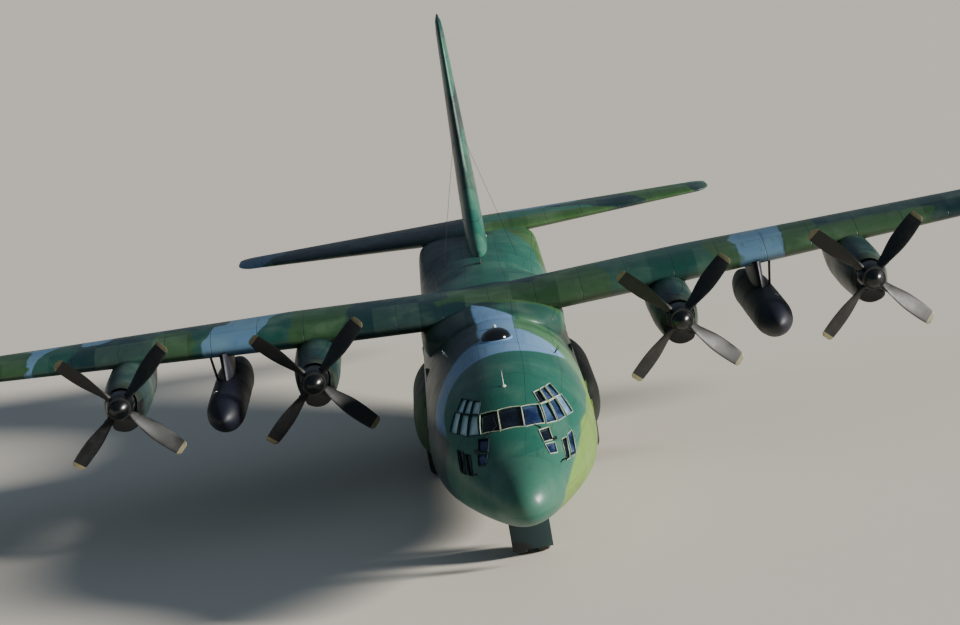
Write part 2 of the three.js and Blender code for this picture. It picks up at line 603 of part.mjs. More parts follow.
const ENGINES = [
  // number from the left wing tip inwards, x
  [1, 10.16], [2, 4.95], [3, -4.95], [4, -10.16],
];
const THRUST_DROP = 0.59;
const NACELLE = [
  // station, half width, top and bottom from the thrust line, widest
  [9.94, 0.43, 0.4, -0.74, -0.1],
  [10.15, 0.5, 0.46, -0.82, -0.1],
  [10.8, 0.58, 0.55, -0.86, -0.08],
  [11.8, 0.63, 0.62, -0.86, -0.05],
  [13.0, 0.63, 0.66, -0.8, -0.02],
  [14.4, 0.52, 0.5, -0.62, 0.0],
  [15.5, 0.34, 0.2, -0.4, -0.08],
].map(([station, halfWidth, top, bottom, widest]) => ({
  station, halfWidth, top, bottom, widest, flatness: 2.2,
}));
const PROP_STATION = 9.62;
const SPINNER_TIP = 9.06;
const SHAFT_RADIUS = 0.1;

const thrustLine = (x) => WING.rootHeight + Math.abs(x) * Math.tan(radians(DIHEDRAL)) - THRUST_DROP;

// A round solid about an engine's axis, from a profile of [station, radius] points.
function turned(profile, x, z, sides = 16) {
  const points = profile.map(([station, radius]) => new THREE.Vector2(m(radius), at(station)));
  const geometry = new THREE.LatheGeometry(points, sides);
  geometry.translate(m(x), 0, m(z));
  return solidOf(geometry);
}

function buildNacelle(number, x) {
  const z = thrustLine(x);
  const rows = NACELLE.map((row) => ({
    ...row, x, top: row.top + z, bottom: row.bottom + z, widest: row.widest + z,
  }));
  const body = loft(rows.map((row) => oval(row, 0, 20)));
  const engine = { half: 0.35, from: 10.45, to: 12.5, top: 0.28, bottom: -0.42 };
  const inside = (from, to) => loft(stretch(rows, from, to).map((row) => oval(row, -0.09, 12)));
  const engineBox = (gap) => block(
    [x - engine.half - gap, x + engine.half + gap],
    [engine.from - gap, engine.to + gap],
    [z + engine.bottom - gap, z + engine.top + gap]);
  const intake = loft([[9.8, 0.34, 0.17, -0.56], [10.5, 0.3, 0.15, -0.45], [11.4, 0.24, 0.13, -0.25]].map(
    ([station, halfWidth, half, middle]) => oval(
      { station, x, halfWidth, top: z + middle + half, bottom: z + middle - half, widest: z + middle }, 0, 12)));
  const exhaust = bar([x, engine.to - 0.1, z - 0.1], [x, 15.7, z - 0.1], 0.2, 0.22, 12);
  const shaftBore = boreBar([x, 9.8, z], [x, 10.3, z], SHAFT_RADIUS);
  const rooms = [[11.3, 12.2], [12.3, 13.3], [13.4, 15.2]].map(([from, to]) => inside(from, to));
  const wing = wingPanel(x - 1, x + 1, SEAT);
  piece(`nacelle_${number}`, cut(body, ...rooms, engineBox(SEAT), intake, exhaust, shaftBore, wing), GREEN);
  piece(`engine_${number}`, engineBox(0), STEEL);
}

const BLADE = [
  // distance from the axis, half chord, half thickness, pitch in degrees
  [0.2, 0.085, 0.085, 70],
  [0.7, 0.2, 0.045, 50],
  [1.2, 0.25, 0.03, 36],
  [1.98, 0.2, 0.014, 24],
  [PROP_DIAMETER / 2, 0.11, 0.008, 23],
];

// One blade, pointing out from the axis at an angle about it.
function blade(x, z, turn) {
  const rings = BLADE.map(([radius, halfChord, halfThickness, pitch]) => {
    const ring = [];
    const [sin, cos] = [Math.sin(radians(pitch)), Math.cos(radians(pitch))];
    for (let i = 0; i < 6; i++) {
      const angle = (2 * Math.PI * i) / 6;
      const [chordwise, through] = [halfChord * Math.cos(angle), halfThickness * Math.sin(angle)];
      const across = chordwise * cos - through * sin;
      const along = chordwise * sin + through * cos;
      const [u, v] = [Math.cos(turn), Math.sin(turn)];
      ring.push([m(x + radius * u - across * v), at(PROP_STATION + along), m(z + radius * v + across * u)]);
    }
    return ring;
  });
  return loft(rings);
}

function buildPropeller(number, x) {
  const z = thrustLine(x);
  const spinner = turned([
    [SPINNER_TIP, 0], [SPINNER_TIP + 0.03, 0.08], [9.2, 0.2], [9.4, 0.31], [9.62, 0.37], [9.9, 0.385], [9.9, 0]], x, z);
  const propShaft = shaft([x, 9.85, z], [x, 10.22, z], SHAFT_RADIUS);
  const start = radians(45);
  const blades = [0, 1, 2, 3].map((i) => blade(x, z, start + (i * Math.PI) / 2));
  piece(`propeller_${number}`, join(spinner, propShaft, ...blades), BLACK);
}

// External fuel tanks

const TANK = { x: 7.5, from: 9.3, to: 17.3, radius: 0.53, drop: 1.29 };

function buildTank(name, side) {
  const x = side * TANK.x;
  const z = WING.rootHeight + TANK.x * Math.tan(radians(DIHEDRAL)) - TANK.drop;
  const shape = [
    // share of the length, share of the radius
    [0, 0], [0.005, 0.2], [0.025, 0.48], [0.06, 0.74], [0.1, 0.9], [0.15, 1],
    [0.62, 1], [0.76, 0.84], [0.88, 0.52], [0.97, 0.2], [1, 0],
  ];
  const body = turned(shape.map(([along, out]) => [mix(TANK.from, TANK.to, along), TANK.radius * out]), x, z, 20);
  const pylon = loft([z + 0.3, z + 1.2].map((height) => {
    const lean = height > z + 1 ? 0.3 : 0;
    return aerofoil(3.4, 0.075, 0, 0, 6).map(([along, up]) => [m(x + up), at(11.9 + lean + along), m(height)]);
  }));
  const brace = bar([x + side * 0.3, 12.7, z + 0.36], [x + side * 0.4, 12.7, z + 1.15], 0.035, 0.035, 8);
  piece(`fuel_tank_${name}`, cut(join(body, pylon, brace), wingPanel(x - 1, x + 1, SEAT)), BLACK);
}

// Tail

const TAILPLANE = {
  height: 4.5,
  tip: 8.03,
  hinge: 28.0,
  rootLeading: 25.0,
  tipLeading: 26.85,
  rootTrailing: 29.3,
  tipTrailing: 28.75,
};
const FIN = { base: 4.3, hinge: 27.72, rudderBase: 4.92, rudderTop: 11.3 };

function tailplaneRing(x, grow, kept = 1) {
  const share = Math.abs(x) / TAILPLANE.tip;
  const leading = mix(TAILPLANE.rootLeading, TAILPLANE.tipLeading, share);
  const trailing = mix(TAILPLANE.rootTrailing, TAILPLANE.tipTrailing, share);
  const chord = (trailing - leading) * kept;
  const start = leading + (trailing - leading - chord) * 0.6;
  const thickness = mix(0.12, 0.1, share) * kept;
  return aerofoil(chord, thickness, 0, grow, 9).map(([along, up]) => [
    m(x), at(start + along), m(TAILPLANE.height + up)]);
}

function tailplanePanel(grow = 0) {
  const { tip } = TAILPLANE;
  const stops = [[-tip, 0.55], [-tip + 0.12, 0.84], [-tip + 0.4, 1], [0, 1], [tip - 0.4, 1], [tip - 0.12, 0.84], [tip, 0.55]];
  return loft(stops.map(([x, kept]) => tailplaneRing(x, grow, kept)));
}

const TAIL_WALL = 0.045;
const TAIL_POCKET_END = 27.3;

const FIN_OUTLINE = [
  // height, leading edge, trailing edge, thickness share
  [FIN.base, 20.3, 29.1, 0.07],
  [4.75, 20.9, 29.1, 0.08],
  [5.4, 22.7, 29.08, 0.1],
  [6.4, 23.9, 29.05, 0.115],
  [8.6, 25.1, 28.98, 0.115],
  [11.15, 26.35, 28.9, 0.105],
  [11.5, 26.65, 28.85, 0.09],
  [HEIGHT, 27.2, 28.6, 0.06],
];

const finPanel = (grow = 0) =>
  loft(FIN_OUTLINE.map(([z, leading, trailing, thickness]) =>
    aerofoil(trailing - leading, thickness, 0, grow, 9).map(([along, up]) => [m(up), at(leading + along), m(z)])));

// Half the thickness of a symmetrical section at a station
function halfThickness(leading, trailing, thickness, station) {
  const chord = trailing - leading;
  const t = (station - leading) / chord;
  return 5 * thickness * chord *
    (0.2969 * Math.sqrt(t) - 0.126 * t - 0.3516 * t ** 2 + 0.2843 * t ** 3 - 0.1015 * t ** 4);
}

// The outline of a hollow inside a symmetrical section, as [station, height], a wall's width inside it.
function pocketRing(leading, trailing, thickness, wall) {
  const first = leading + 0.14 * (trailing - leading);
  const last = Math.max(first + 0.2, TAIL_POCKET_END);
  const stations = [0, 0.25, 0.6, 1].map((share) => mix(first, last, share));
  const half = (station) => Math.max(0.01, halfThickness(leading, trailing, thickness, station) - wall);
  const upper = stations.map((station) => [station, half(station)]);
  const lower = stations.map((station) => [station, -half(station)]).reverse();
  return [...upper, ...lower];
}

function finHalfThickness(z) {
  const i = Math.max(1, FIN_OUTLINE.findIndex((row) => row[0] >= z));
  const [a, b] = [FIN_OUTLINE[i - 1], FIN_OUTLINE[i]];
  const share = (z - a[0]) / (b[0] - a[0]);
  const [, leading, trailing, thickness] = a.map((value, k) => mix(value, b[k], share));
  return halfThickness(leading, trailing, thickness, FIN.hinge);
}

// The room that the rudder sweeps above the tail cone
function rudderSweep() {
  return block([-1.2, 1.2], [FIN.hinge - 0.5, LENGTH + 0.2], [FIN.rudderBase - 0.1, 6]);
}

function buildTail() {
  const fin = finPanel();
  const { hinge, rudderBase, rudderTop } = FIN;
  const [lowest, highest] = [finHalfThickness(rudderBase), finHalfThickness(rudderTop)];
  // The nose's cone is wide enough to hold the section everywhere between its ends
  const wider = Math.max(...FIN_OUTLINE.filter(([z]) => z > rudderBase && z < rudderTop).map(([z]) => {
    const straight = mix(lowest, highest, (z - rudderBase) / (rudderTop - rudderBase));
    return finHalfThickness(z) / straight;
  }), 1);
  const [low, high] = [lowest * wider, highest * wider];
  const nose = bar([0, hinge, rudderBase], [0, hinge, rudderTop], low, high, 20);
  const cove = bar([0, hinge, rudderBase - RUN], [0, hinge, rudderTop + RUN], low + RUN, high + RUN, 20);
  const behind = (gap) => block([-1, 1], [hinge, LENGTH + 1], [rudderBase - gap, rudderTop + gap]);
  const body = hull(CENTRE_END, LENGTH, SEAT);
  const { pins, bores } = hingePins([0, hinge, rudderBase], [0, hinge, rudderTop], 0.03);
  piece("rudder", cut(join(behind(0), nose).intersect(fin), bores), GREEN);
  const underside = block([-1, 1], [24, LENGTH], [4, TAILPLANE.height]);
  const pocket = loft(FIN_OUTLINE.slice(0, -2).map(([z, leading, trailing, thickness], i) =>
    pocketRing(leading, trailing, thickness, TAIL_WALL).map(([station, up]) =>
      [m(up), at(station), m(i > 0 ? z - 0.05 : z - 0.3)])));
  piece("fin", join(cut(fin, behind(RUN), cove, body, tailplanePanel(SEAT), underside, pocket), pins), GREEN);

  const plane = tailplanePanel();
  const inner = 0.72;
  const outer = 7.5;
  const tools = [];
  const added = [];
  for (const [name, side] of [["left", 1], ["right", -1]]) {
    const radius = (x) => {
      const share = x / TAILPLANE.tip;
      return halfThickness(
        mix(TAILPLANE.rootLeading, TAILPLANE.tipLeading, share),
        mix(TAILPLANE.rootTrailing, TAILPLANE.tipTrailing, share), mix(0.12, 0.1, share), TAILPLANE.hinge);
    };
    const line = (x) => [side * x, TAILPLANE.hinge, TAILPLANE.height];
    const round = bar(line(inner), line(outer), radius(inner), radius(outer), 20);
    const behindHinge = (gap) => planPrism([
      [side * (inner - gap), TAILPLANE.hinge - 0.001], [side * (inner - gap), TAILPLANE.hinge + 0.2],
      [side * (inner + 0.3 - gap), LENGTH - 0.4], [side * (outer + gap), LENGTH - 0.4],
      [side * (outer + gap), TAILPLANE.hinge - 0.001]], 3.5, 5.5);
    const hinges = hingePins(line(inner), line(outer), 0.03);
    piece(`elevator_${name}`, cut(join(behindHinge(0), round).intersect(plane), hinges.bores), GREEN);
    added.push(hinges.pins);
    tools.push(behindHinge(RUN));
    tools.push(bar(line(inner - RUN), line(outer + RUN), radius(inner) + RUN, radius(outer) + RUN, 20));
  }
  const hollow = loft([-7.4, 0, 7.4].map((x) => {
    const share = Math.abs(x) / TAILPLANE.tip;
    const leading = mix(TAILPLANE.rootLeading, TAILPLANE.tipLeading, share);
    const trailing = mix(TAILPLANE.rootTrailing, TAILPLANE.tipTrailing, share);
    return pocketRing(leading, trailing, mix(0.12, 0.1, share), TAIL_WALL).map(([station, up]) =>
      [m(x), at(station), m(TAILPLANE.height + up)]);
  }));
  const hatch = block([-0.35, 0.35], [25.9, 27], [3.9, TAILPLANE.height]);
  piece("tailplane", join(cut(plane, ...tools, hollow, hatch), ...added), GREEN);
}

// Landing gear

const MAIN_GEAR = { x: 2.175, stations: [13.21, 14.73], strutX: 1.83 };
const NOSE_GEAR = { station: 4.2, wheelX: 0.27 };
const SPONSON = [
  // station, outer x, top, bottom
  [10.2, 2.12, 2.25, 1.5],
  [10.7, 2.34, 2.62, 1.1],
  [11.5, 2.54, 2.88, 0.82],
  [12.6, 2.62, 2.96, 0.7],
  [15.6, 2.62, 2.9, 0.7],
  [16.7, 2.48, 2.6, 0.82],
  [17.5, 2.18, 2.15, 1.25],
];

function buildSponson(name, side) {
  const centre = 1.5;
  const body = loft(SPONSON.map(([station, outerX, top, bottom]) => oval({
    station, x: side * centre, halfWidth: outerX - centre, top, bottom, widest: (top + bottom) / 2 - 0.1, flatness: 2.6,
  }, 0, 24)));
  const { inner, outer, from, to, top } = WHEEL_WELL;
  const well = block([side * (inner - 0.5), side * outer], [from, to], [0, top]);
  const jackPad = block([side * 1.9, side * 2.06], [12.05, 12.21], [0.68, 0.9]);
  piece(`gear_sponson_${name}`, cut(join(body, jackPad), well, hull(10, 17.6, SEAT)), GREEN);
}

// A tyre on its wheel, turned about an axle across the aircraft, with a bore for the axle.
function wheel({ diameter, width }, x, station, z, bore, sides = 24) {
  const [r, w] = [diameter / 2, width / 2];
  const half = [
    [bore, w * 0.6], [r * 0.5, w * 0.6], [r * 0.56, w * 0.94], [r * 0.8, w], [r * 0.94, w * 0.8], [r, w * 0.4]];
  const profile = [...half, ...half.map(([radius, across]) => [radius, -across]).reverse()];
  profile.push(profile[0]);
  const points = profile.map(([radius, across]) => new THREE.Vector2(m(radius), m(across)));
  const geometry = new THREE.LatheGeometry(points, sides);
  geometry.rotateZ(-Math.PI / 2);
  geometry.translate(m(x), at(station), m(z));
  return solidOf(geometry);
}

function buildMainGear(name, side) {
  const { x, stations, strutX } = MAIN_GEAR;
  const axleHeight = MAIN_TYRE.diameter / 2;
  const { top } = WHEEL_WELL;
  const axleRadius = 0.06;
  const parts = stations.flatMap((station) => [
    bar([side * strutX, station, axleHeight + 0.4], [side * strutX, station, top - SEAT], 0.075),
    bar([side * strutX, station, axleHeight - 0.1], [side * strutX, station, axleHeight + 0.5], 0.055),
    shaft([side * (strutX - 0.05), station, axleHeight], [side * (x + 0.2), station, axleHeight], axleRadius, 24),
  ]);
  const beam = block([side * (strutX - 0.04), side * (strutX + 0.04)], stations, [1.5, 1.6]);
  piece(`main_gear_legs_${name}`, join(...parts, beam), STEEL);
  stations.forEach((station, i) => {
    const solid = wheel(MAIN_TYRE, side * x, station, axleHeight, boreFor(axleRadius, 24));
    piece(`main_wheel_${["front", "rear"][i]}_${name}`, solid, RUBBER);
  });
  const { inner, from, to } = WHEEL_WELL;
  const door = block([side * (inner + SEAT), side * (inner + 0.025)], [from + 0.1, to - 0.1], [0.24, 1.45]);
  piece(`main_gear_door_${name}`, door, GREEN);
}

function buildNoseGear() {
  const { station, wheelX } = NOSE_GEAR;
  const axleHeight = NOSE_TYRE.diameter / 2;
  const well = NOSE_WELL;
  const rod = 0.05;
  const cylinderFoot = 0.98;
  const cylinder = bar([0, station, cylinderFoot], [0, station, 1.66], 0.085);
  const trunnion = bar([-well.halfWidth + SEAT, station, 1.6], [well.halfWidth - SEAT, station, 1.6], 0.06);
  const brace = bar([0, station, 1.2], [0, well.from + SEAT, 1.55], 0.04, 0.04, 10);
  const bore = boreBar([0, station, 0.6], [0, station, 1.3], rod);
  const leg = cut(join(cylinder, trunnion, brace), bore, block([-1, 1], [2, well.from + SEAT], [1, 2]));
  piece("nose_gear_leg", leg, STEEL);

  const axleRadius = 0.05;
  const piston = shaft([0, station, axleHeight], [0, station, 1.25], rod);
  const collar = bar([0, station, 0.86], [0, station, cylinderFoot - 0.012], 0.075);
  const foot = block([-0.075, 0.075], [station - 0.1, station + 0.1], [axleHeight - 0.1, axleHeight + 0.12]);
  const sleeve = boreBar([-0.2, station, axleHeight], [0.2, station, axleHeight], axleRadius);
  piece("nose_gear_fork", cut(join(piston, collar, foot), sleeve), STEEL);

  const axle = shaft([-wheelX, station, axleHeight], [wheelX, station, axleHeight], axleRadius);
  const wheels = [1, -1].map((side) => wheel(NOSE_TYRE, side * wheelX, station, axleHeight, axleRadius * 0.9, 20));
  piece("nose_wheels", join(axle, ...wheels), RUBBER);

  const doors = [["front", well.from + SEAT, well.from + 0.03], ["rear", well.to - 0.03, well.to - SEAT]];
  for (const [name, from, to] of doors) {
    piece(`nose_gear_door_${name}`, block([-0.5, 0.5], [from, to], [0.42, 1.4]), GREEN);
  }
}

buildForwardFuselage();
buildFlightDeck();
buildCentreFuselage();
buildAftFuselage();
buildWing();
buildFairing();
for (const [number, x] of ENGINES) {
  buildNacelle(number, x);
  buildPropeller(number, x);
}
buildTail();
for (const [name, side] of [["left", 1], ["right", -1]]) {
  buildTank(name, side);
  buildSponson(name, side);
  buildMainGear(name, side);
}
buildNoseGear();

export default aircraft;
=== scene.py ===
"""Dresses the half-size model of a four-engine transport aircraft that stands on its wheels.

Sizes are the real aircraft's, in metres, given as x to the left wing, station aft of the nose tip and
height above the floor. at() and m() turn them into the model's metres.
"""

import json
import logging
import math
from bisect import bisect_right
from collections.abc import Iterator, Sequence
from contextlib import contextmanager
from dataclasses import dataclass
from enum import Enum
from itertools import pairwise, product

import bmesh
import bpy
from mathutils import Matrix, Vector

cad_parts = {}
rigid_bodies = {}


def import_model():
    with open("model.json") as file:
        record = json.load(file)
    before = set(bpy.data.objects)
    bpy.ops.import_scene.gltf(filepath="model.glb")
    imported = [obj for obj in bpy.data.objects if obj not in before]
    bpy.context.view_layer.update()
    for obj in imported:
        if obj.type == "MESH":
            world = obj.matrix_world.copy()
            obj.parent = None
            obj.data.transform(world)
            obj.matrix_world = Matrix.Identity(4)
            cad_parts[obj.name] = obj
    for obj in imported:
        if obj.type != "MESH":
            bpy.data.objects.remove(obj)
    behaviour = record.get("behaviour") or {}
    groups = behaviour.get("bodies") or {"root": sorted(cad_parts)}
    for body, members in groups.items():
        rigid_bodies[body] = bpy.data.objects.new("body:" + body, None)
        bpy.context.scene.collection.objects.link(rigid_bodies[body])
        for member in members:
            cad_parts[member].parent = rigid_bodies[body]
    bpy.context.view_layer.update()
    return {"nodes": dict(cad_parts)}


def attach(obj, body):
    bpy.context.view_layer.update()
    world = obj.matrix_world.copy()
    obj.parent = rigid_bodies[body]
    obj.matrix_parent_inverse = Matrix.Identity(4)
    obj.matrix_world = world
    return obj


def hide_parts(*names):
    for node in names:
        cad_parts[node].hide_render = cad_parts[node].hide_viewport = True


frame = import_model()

LOG = logging.getLogger("transport")

# Overall sizes
SCALE = 0.5
LENGTH = 29.79
SPAN = 40.41
HEIGHT = 11.66
DIHEDRAL = math.radians(2.5)
SIDES = {"left": 1, "right": -1}
AHEAD, AFT = Vector((0, -1, 0)), Vector((0, 1, 0))
DOWN, UP = Vector((0, 0, -1)), Vector((0, 0, 1))

# Fuselage: its middle, its wall, the gap round moving parts, the wheel wells and two pins as station and z
HULL_MIDDLE = 2.44
HULL_HALF_WIDTH = 2.16
WALL = 0.12
CLEARANCE = 0.014
WELL_START, WELL_END, WELL_TOP = 12.38, 15.56, 1.86
HOLD_FLOOR = 1.03
RAMP_PIN = (18.87, 0.8)
DOOR_PIN = (25.02, 2.97)

# Wing at the centreline, a station behind all of it, and the engines' distances from the centreline
WING_HEIGHT = 4.38
BEHIND_WING = 18.2
ENGINE_PLACES = (10.16, 4.95)

# Wheels
MAIN_WHEEL_RADIUS, NOSE_WHEEL_RADIUS = 0.71, 0.495
NOSE_GEAR_STATION = 4.2

Piece = bpy.types.Object
Point = tuple[float, float, float]
Ring = list[Vector]
Outline = Sequence[tuple[float, float]]
Table = tuple[tuple[float, ...], ...]


def m(metres: float) -> float:
    """Turns a real length into the model's."""
    return metres * SCALE


def at(x: float, station: float, z: float) -> Vector:
    """Places a point of the real aircraft in the model."""
    return Vector((m(x), m(station - LENGTH / 2), m(z)))


def mix(a: float, b: float, share: float) -> float:
    """Gives the value that lies a share of the way from a to b."""
    return a + (b - a) * share


def smooth(keys: Sequence[float], values: Sequence[float], key: float) -> float:
    """Reads a smooth curve through a table's values that never overshoots them.

    Args:
        keys: Rising positions of the values.
        values: The value at each position.
        key: Where the curve is read.

    Returns:
        The curve's value at the key.
    """
    steps = [b - a for a, b in pairwise(keys)]
    rises = [(b - a) / step for (a, b), step in zip(pairwise(values), steps)]
    inner = [2 * a * b / (a + b) if a * b > 0 else 0.0 for a, b in pairwise(rises)]
    slopes = [rises[0], *inner, rises[-1]]
    i = max(0, min(len(steps) - 1, bisect_right(keys, key) - 1))
    t = (key - keys[i]) / steps[i]
    start, end = values[i], values[i + 1]
    lead, trail = slopes[i] * steps[i], slopes[i + 1] * steps[i]
    bend = 2 * start + lead - 2 * end + trail
    return ((bend * t - 3 * start + 3 * end - 2 * lead - trail) * t + lead) * t + start


# Modelling by operators


def deselect() -> None:
    """Leaves no object selected."""
    for other in bpy.context.view_layer.objects:
        other.select_set(False)


def activate(piece: Piece) -> None:
    """Selects one piece alone and makes it the active one."""
    deselect()
    piece.select_set(True)
    bpy.context.view_layer.objects.active = piece


@contextmanager
def editing(piece: Piece) -> Iterator[bmesh.types.BMesh]:
    """Opens a piece in edit mode with nothing selected.

    Args:
        piece: The mesh object to work on.

    Yields:
        The mesh as edit mode sees it.
    """
    activate(piece)
    bpy.ops.object.mode_set(mode="EDIT")
    bpy.ops.mesh.select_all(action="DESELECT")
    yield bmesh.from_edit_mesh(piece.data)
    bpy.ops.object.mode_set(mode="OBJECT")


def outward(piece: Piece, merge: float = 1e-6) -> None:
    """Turns all faces of a piece outwards, after points closer than the merge distance become one."""
    with editing(piece):
        bpy.ops.mesh.select_all(action="SELECT")
        bpy.ops.mesh.remove_doubles(threshold=merge)
        bpy.ops.mesh.normals_make_consistent(inside=False)


def smoothed(piece: Piece, degrees: float) -> None:
    """Shades a piece smooth, with sharp edges where its faces meet at more than an angle."""
    activate(piece)
    bpy.ops.object.shade_smooth_by_angle(angle=math.radians(degrees))


def placed(piece: Piece) -> Piece:
    """Applies a piece's place, turn and scale to its mesh."""
    activate(piece)
    bpy.ops.object.transform_apply(location=True, rotation=True, scale=True)
    return piece


def modified(piece: Piece, kind: str, **settings: object) -> Piece:
    """Adds one modifier to a piece and applies it.

    Args:
        piece: The mesh object to change.
        kind: The modifier's type.
        settings: The modifier's values.

    Returns:
        The changed piece.
    """
    activate(piece)
    bpy.ops.object.modifier_add(type=kind)
    modifier = piece.modifiers[-1]
    for name, value in settings.items():
        setattr(modifier, name, value)
    bpy.ops.object.modifier_apply(modifier=modifier.name)
    return piece


def bevelled(piece: Piece, width: float) -> Piece:
    """Rounds a piece's sharp edges by a real width in metres."""
    return modified(piece, "BEVEL", width=m(width), segments=2, limit_method="ANGLE",
                    angle_limit=math.radians(35))


def joined(name: str, pieces: Sequence[Piece]) -> Piece:
    """Joins pieces into one object under a name."""
    activate(pieces[0])
    for piece in pieces[1:]:
        piece.select_set(True)
    if len(pieces) > 1:
        bpy.ops.object.join()
    pieces[0].name = pieces[0].data.name = name
    return pieces[0]


def combined(piece: Piece, tools: Sequence[Piece], operation: str = "DIFFERENCE") -> Piece:
    """Cuts tools out of a piece, or keeps or adds them, and removes them.

    Args:
        piece: The solid to change.
        tools: Closed solids, used one after another.
        operation: DIFFERENCE, INTERSECT or UNION.

    Returns:
        The changed piece.
    """
    for tool in tools:
        modified(piece, "BOOLEAN", operation=operation, object=tool, solver="MANIFOLD")
        bpy.data.objects.remove(tool)
    return piece


def copied(piece: Piece, name: str) -> Piece:
    """Copies a piece together with its mesh."""
    activate(piece)
    bpy.ops.object.duplicate(linked=False)
    twin = bpy.context.view_layer.objects.active
    twin.name = twin.data.name = name
    return twin


def circle(name: str, count: int, fill: str = "NOTHING") -> Piece:
    """Draws a ring of a number of points, open or filled, as a new object."""
    deselect()
    bpy.ops.mesh.primitive_circle_add(vertices=count, fill_type=fill)
    piece = bpy.context.object
    piece.name = piece.data.name = name
    return piece


def closed_line(name: str, points: Sequence[Vector]) -> Piece:
    """Draws a closed line through points of the model."""
    line = circle(name, len(points))
    for vert, point in zip(line.data.vertices, points):
        vert.co = point
    return line


def hoop(centre: Vector, axis: Vector, radius: float, sides: int) -> Ring:
    """Gives a round ring of points about an axis, at a real radius in metres."""
    along = axis.normalized()
    side = along.orthogonal().normalized()
    other = along.cross(side)
    angles = [math.tau * i / sides for i in range(sides)]
    return [centre + (side * math.cos(a) + other * math.sin(a)) * m(radius) for a in angles]


def loft(name: str, rings: Sequence[Ring]) -> Piece:
    """Draws a closed solid by extruding a filled circle from ring to ring.

    Args:
        name: The new object's name.
        rings: Rings with equal numbers of points, in the model's metres.

    Returns:
        The solid, with flat ends.
    """
    piece = circle(name, len(rings[0]), "NGON")
    order = piece.data.attributes.new("corner", "INT", "POINT")
    order.data.foreach_set("value", list(range(len(rings[0]))))
    bpy.ops.object.mode_set(mode="EDIT")
    bpy.ops.mesh.select_all(action="SELECT")
    for number, ring in enumerate(rings):
        if number:
            bpy.ops.mesh.extrude_region_move()
        mesh = bmesh.from_edit_mesh(piece.data)
        corner = mesh.verts.layers.int["corner"]
        for vert in mesh.verts:
            if vert.select:
                vert.co = ring[vert[corner]]
        bmesh.update_edit_mesh(piece.data)
    bpy.ops.mesh.select_all(action="SELECT")
    bpy.ops.mesh.normals_make_consistent(inside=False)
    bpy.ops.object.mode_set(mode="OBJECT")
    piece.data.attributes.remove(piece.data.attributes["corner"])
    return piece


def prism(name: str, outline: Sequence[Vector], push: Vector) -> Piece:
    """Draws a prism from an outline and the way that it is pushed."""
    return loft(name, [list(outline), [point + push for point in outline]])


def side_prism(name: str, half: float, outline: Outline) -> Piece:
    """Draws a prism across the aircraft from an outline of station and z, out to a half width each way."""
    return prism(name, [at(-half, s, z) for s, z in outline], Vector((m(2 * half), 0, 0)))


def block(name: str, corner: Point, opposite: Point) -> Piece:
    """Draws a box between two opposite corners, given as x, station and z."""
    a, b = (at(*ends) for ends in zip(*(sorted(pair) for pair in zip(corner, opposite))))
    outline = [Vector((x, y, a.z)) for x, y in ((a.x, a.y), (b.x, a.y), (b.x, b.y), (a.x, b.y))]
    return prism(name, outline, Vector((0, 0, b.z - a.z)))


def rod(
    name: str, start: Vector, end: Vector, radius: float, end_radius: float | None = None, sides: int = 16
) -> Piece:
    """Draws a round bar between two points; its radii are real and its sides are flats."""
    last = radius if end_radius is None else end_radius
    return loft(name, [hoop(start, end - start, radius, sides), hoop(end, end - start, last, sides)])


def turned(name: str, profile: Outline, start: Vector, axis: Vector, sides: int = 48) -> Piece:
    """Spins a profile of real distances and radii round an axis, as a solid with flat ends."""
    along = axis.normalized()
    return loft(name, [hoop(start + along * m(reach), axis, radius, sides) for reach, radius in profile])


def closed_ring(name: str, profile: Outline, centre: Vector, axis: Vector, sides: int) -> Piece:
    """Spins a closed profile round an axis, as a ring with a hole.

    Args:
        name: The new object's name.
        profile: Real distances along the axis and radii, once round.
        centre: The axis's origin in the model.
        axis: The axis's direction.
        sides: Number of steps round it.

    Returns:
        The ring.
    """
    along = axis.normalized()
    side = along.orthogonal().normalized()
    ring = closed_line(name, [centre + along * m(reach) + side * m(radius) for reach, radius in profile])
    with editing(ring):
        bpy.ops.mesh.select_all(action="SELECT")
        bpy.ops.mesh.spin(steps=sides, angle=math.tau, center=centre, axis=along)
    outward(ring, 1e-5)
    return ring


# Cross sections


@dataclass(frozen=True)
class Oval:
    """One section of a body: an oval with a flatter belly and crown."""

    station: float
    half_width: float
    top: float
    bottom: float
    widest: float
    flatness: float = 2.0
    crown: float = 2.0
    x: float = 0.0

    def point(self, angle: float, grow: float = 0.0) -> Vector:
        """Gives the point on the section at an angle from its port side.

        Args:
            angle: Turn about the section's middle, up from the port side.
            grow: Distance that the section is moved outwards.

        Returns:
            The point in the model.
        """
        c, s = math.cos(angle), math.sin(angle)
        power = 2 / (self.flatness if s < 0 else self.crown)
        reach = self.widest - self.bottom if s < 0 else self.top - self.widest
        across = math.copysign(abs(c) ** power, c) * (self.half_width + grow)
        up = math.copysign(abs(s) ** power, s) * (reach + grow)
        return at(self.x + across, self.station, self.widest + up)

    def ring(self, count: int, grow: float = 0.0) -> Ring:
        """Gives the whole section as a ring of points."""
        return [self.point(math.tau * i / count, grow) for i in range(count)]


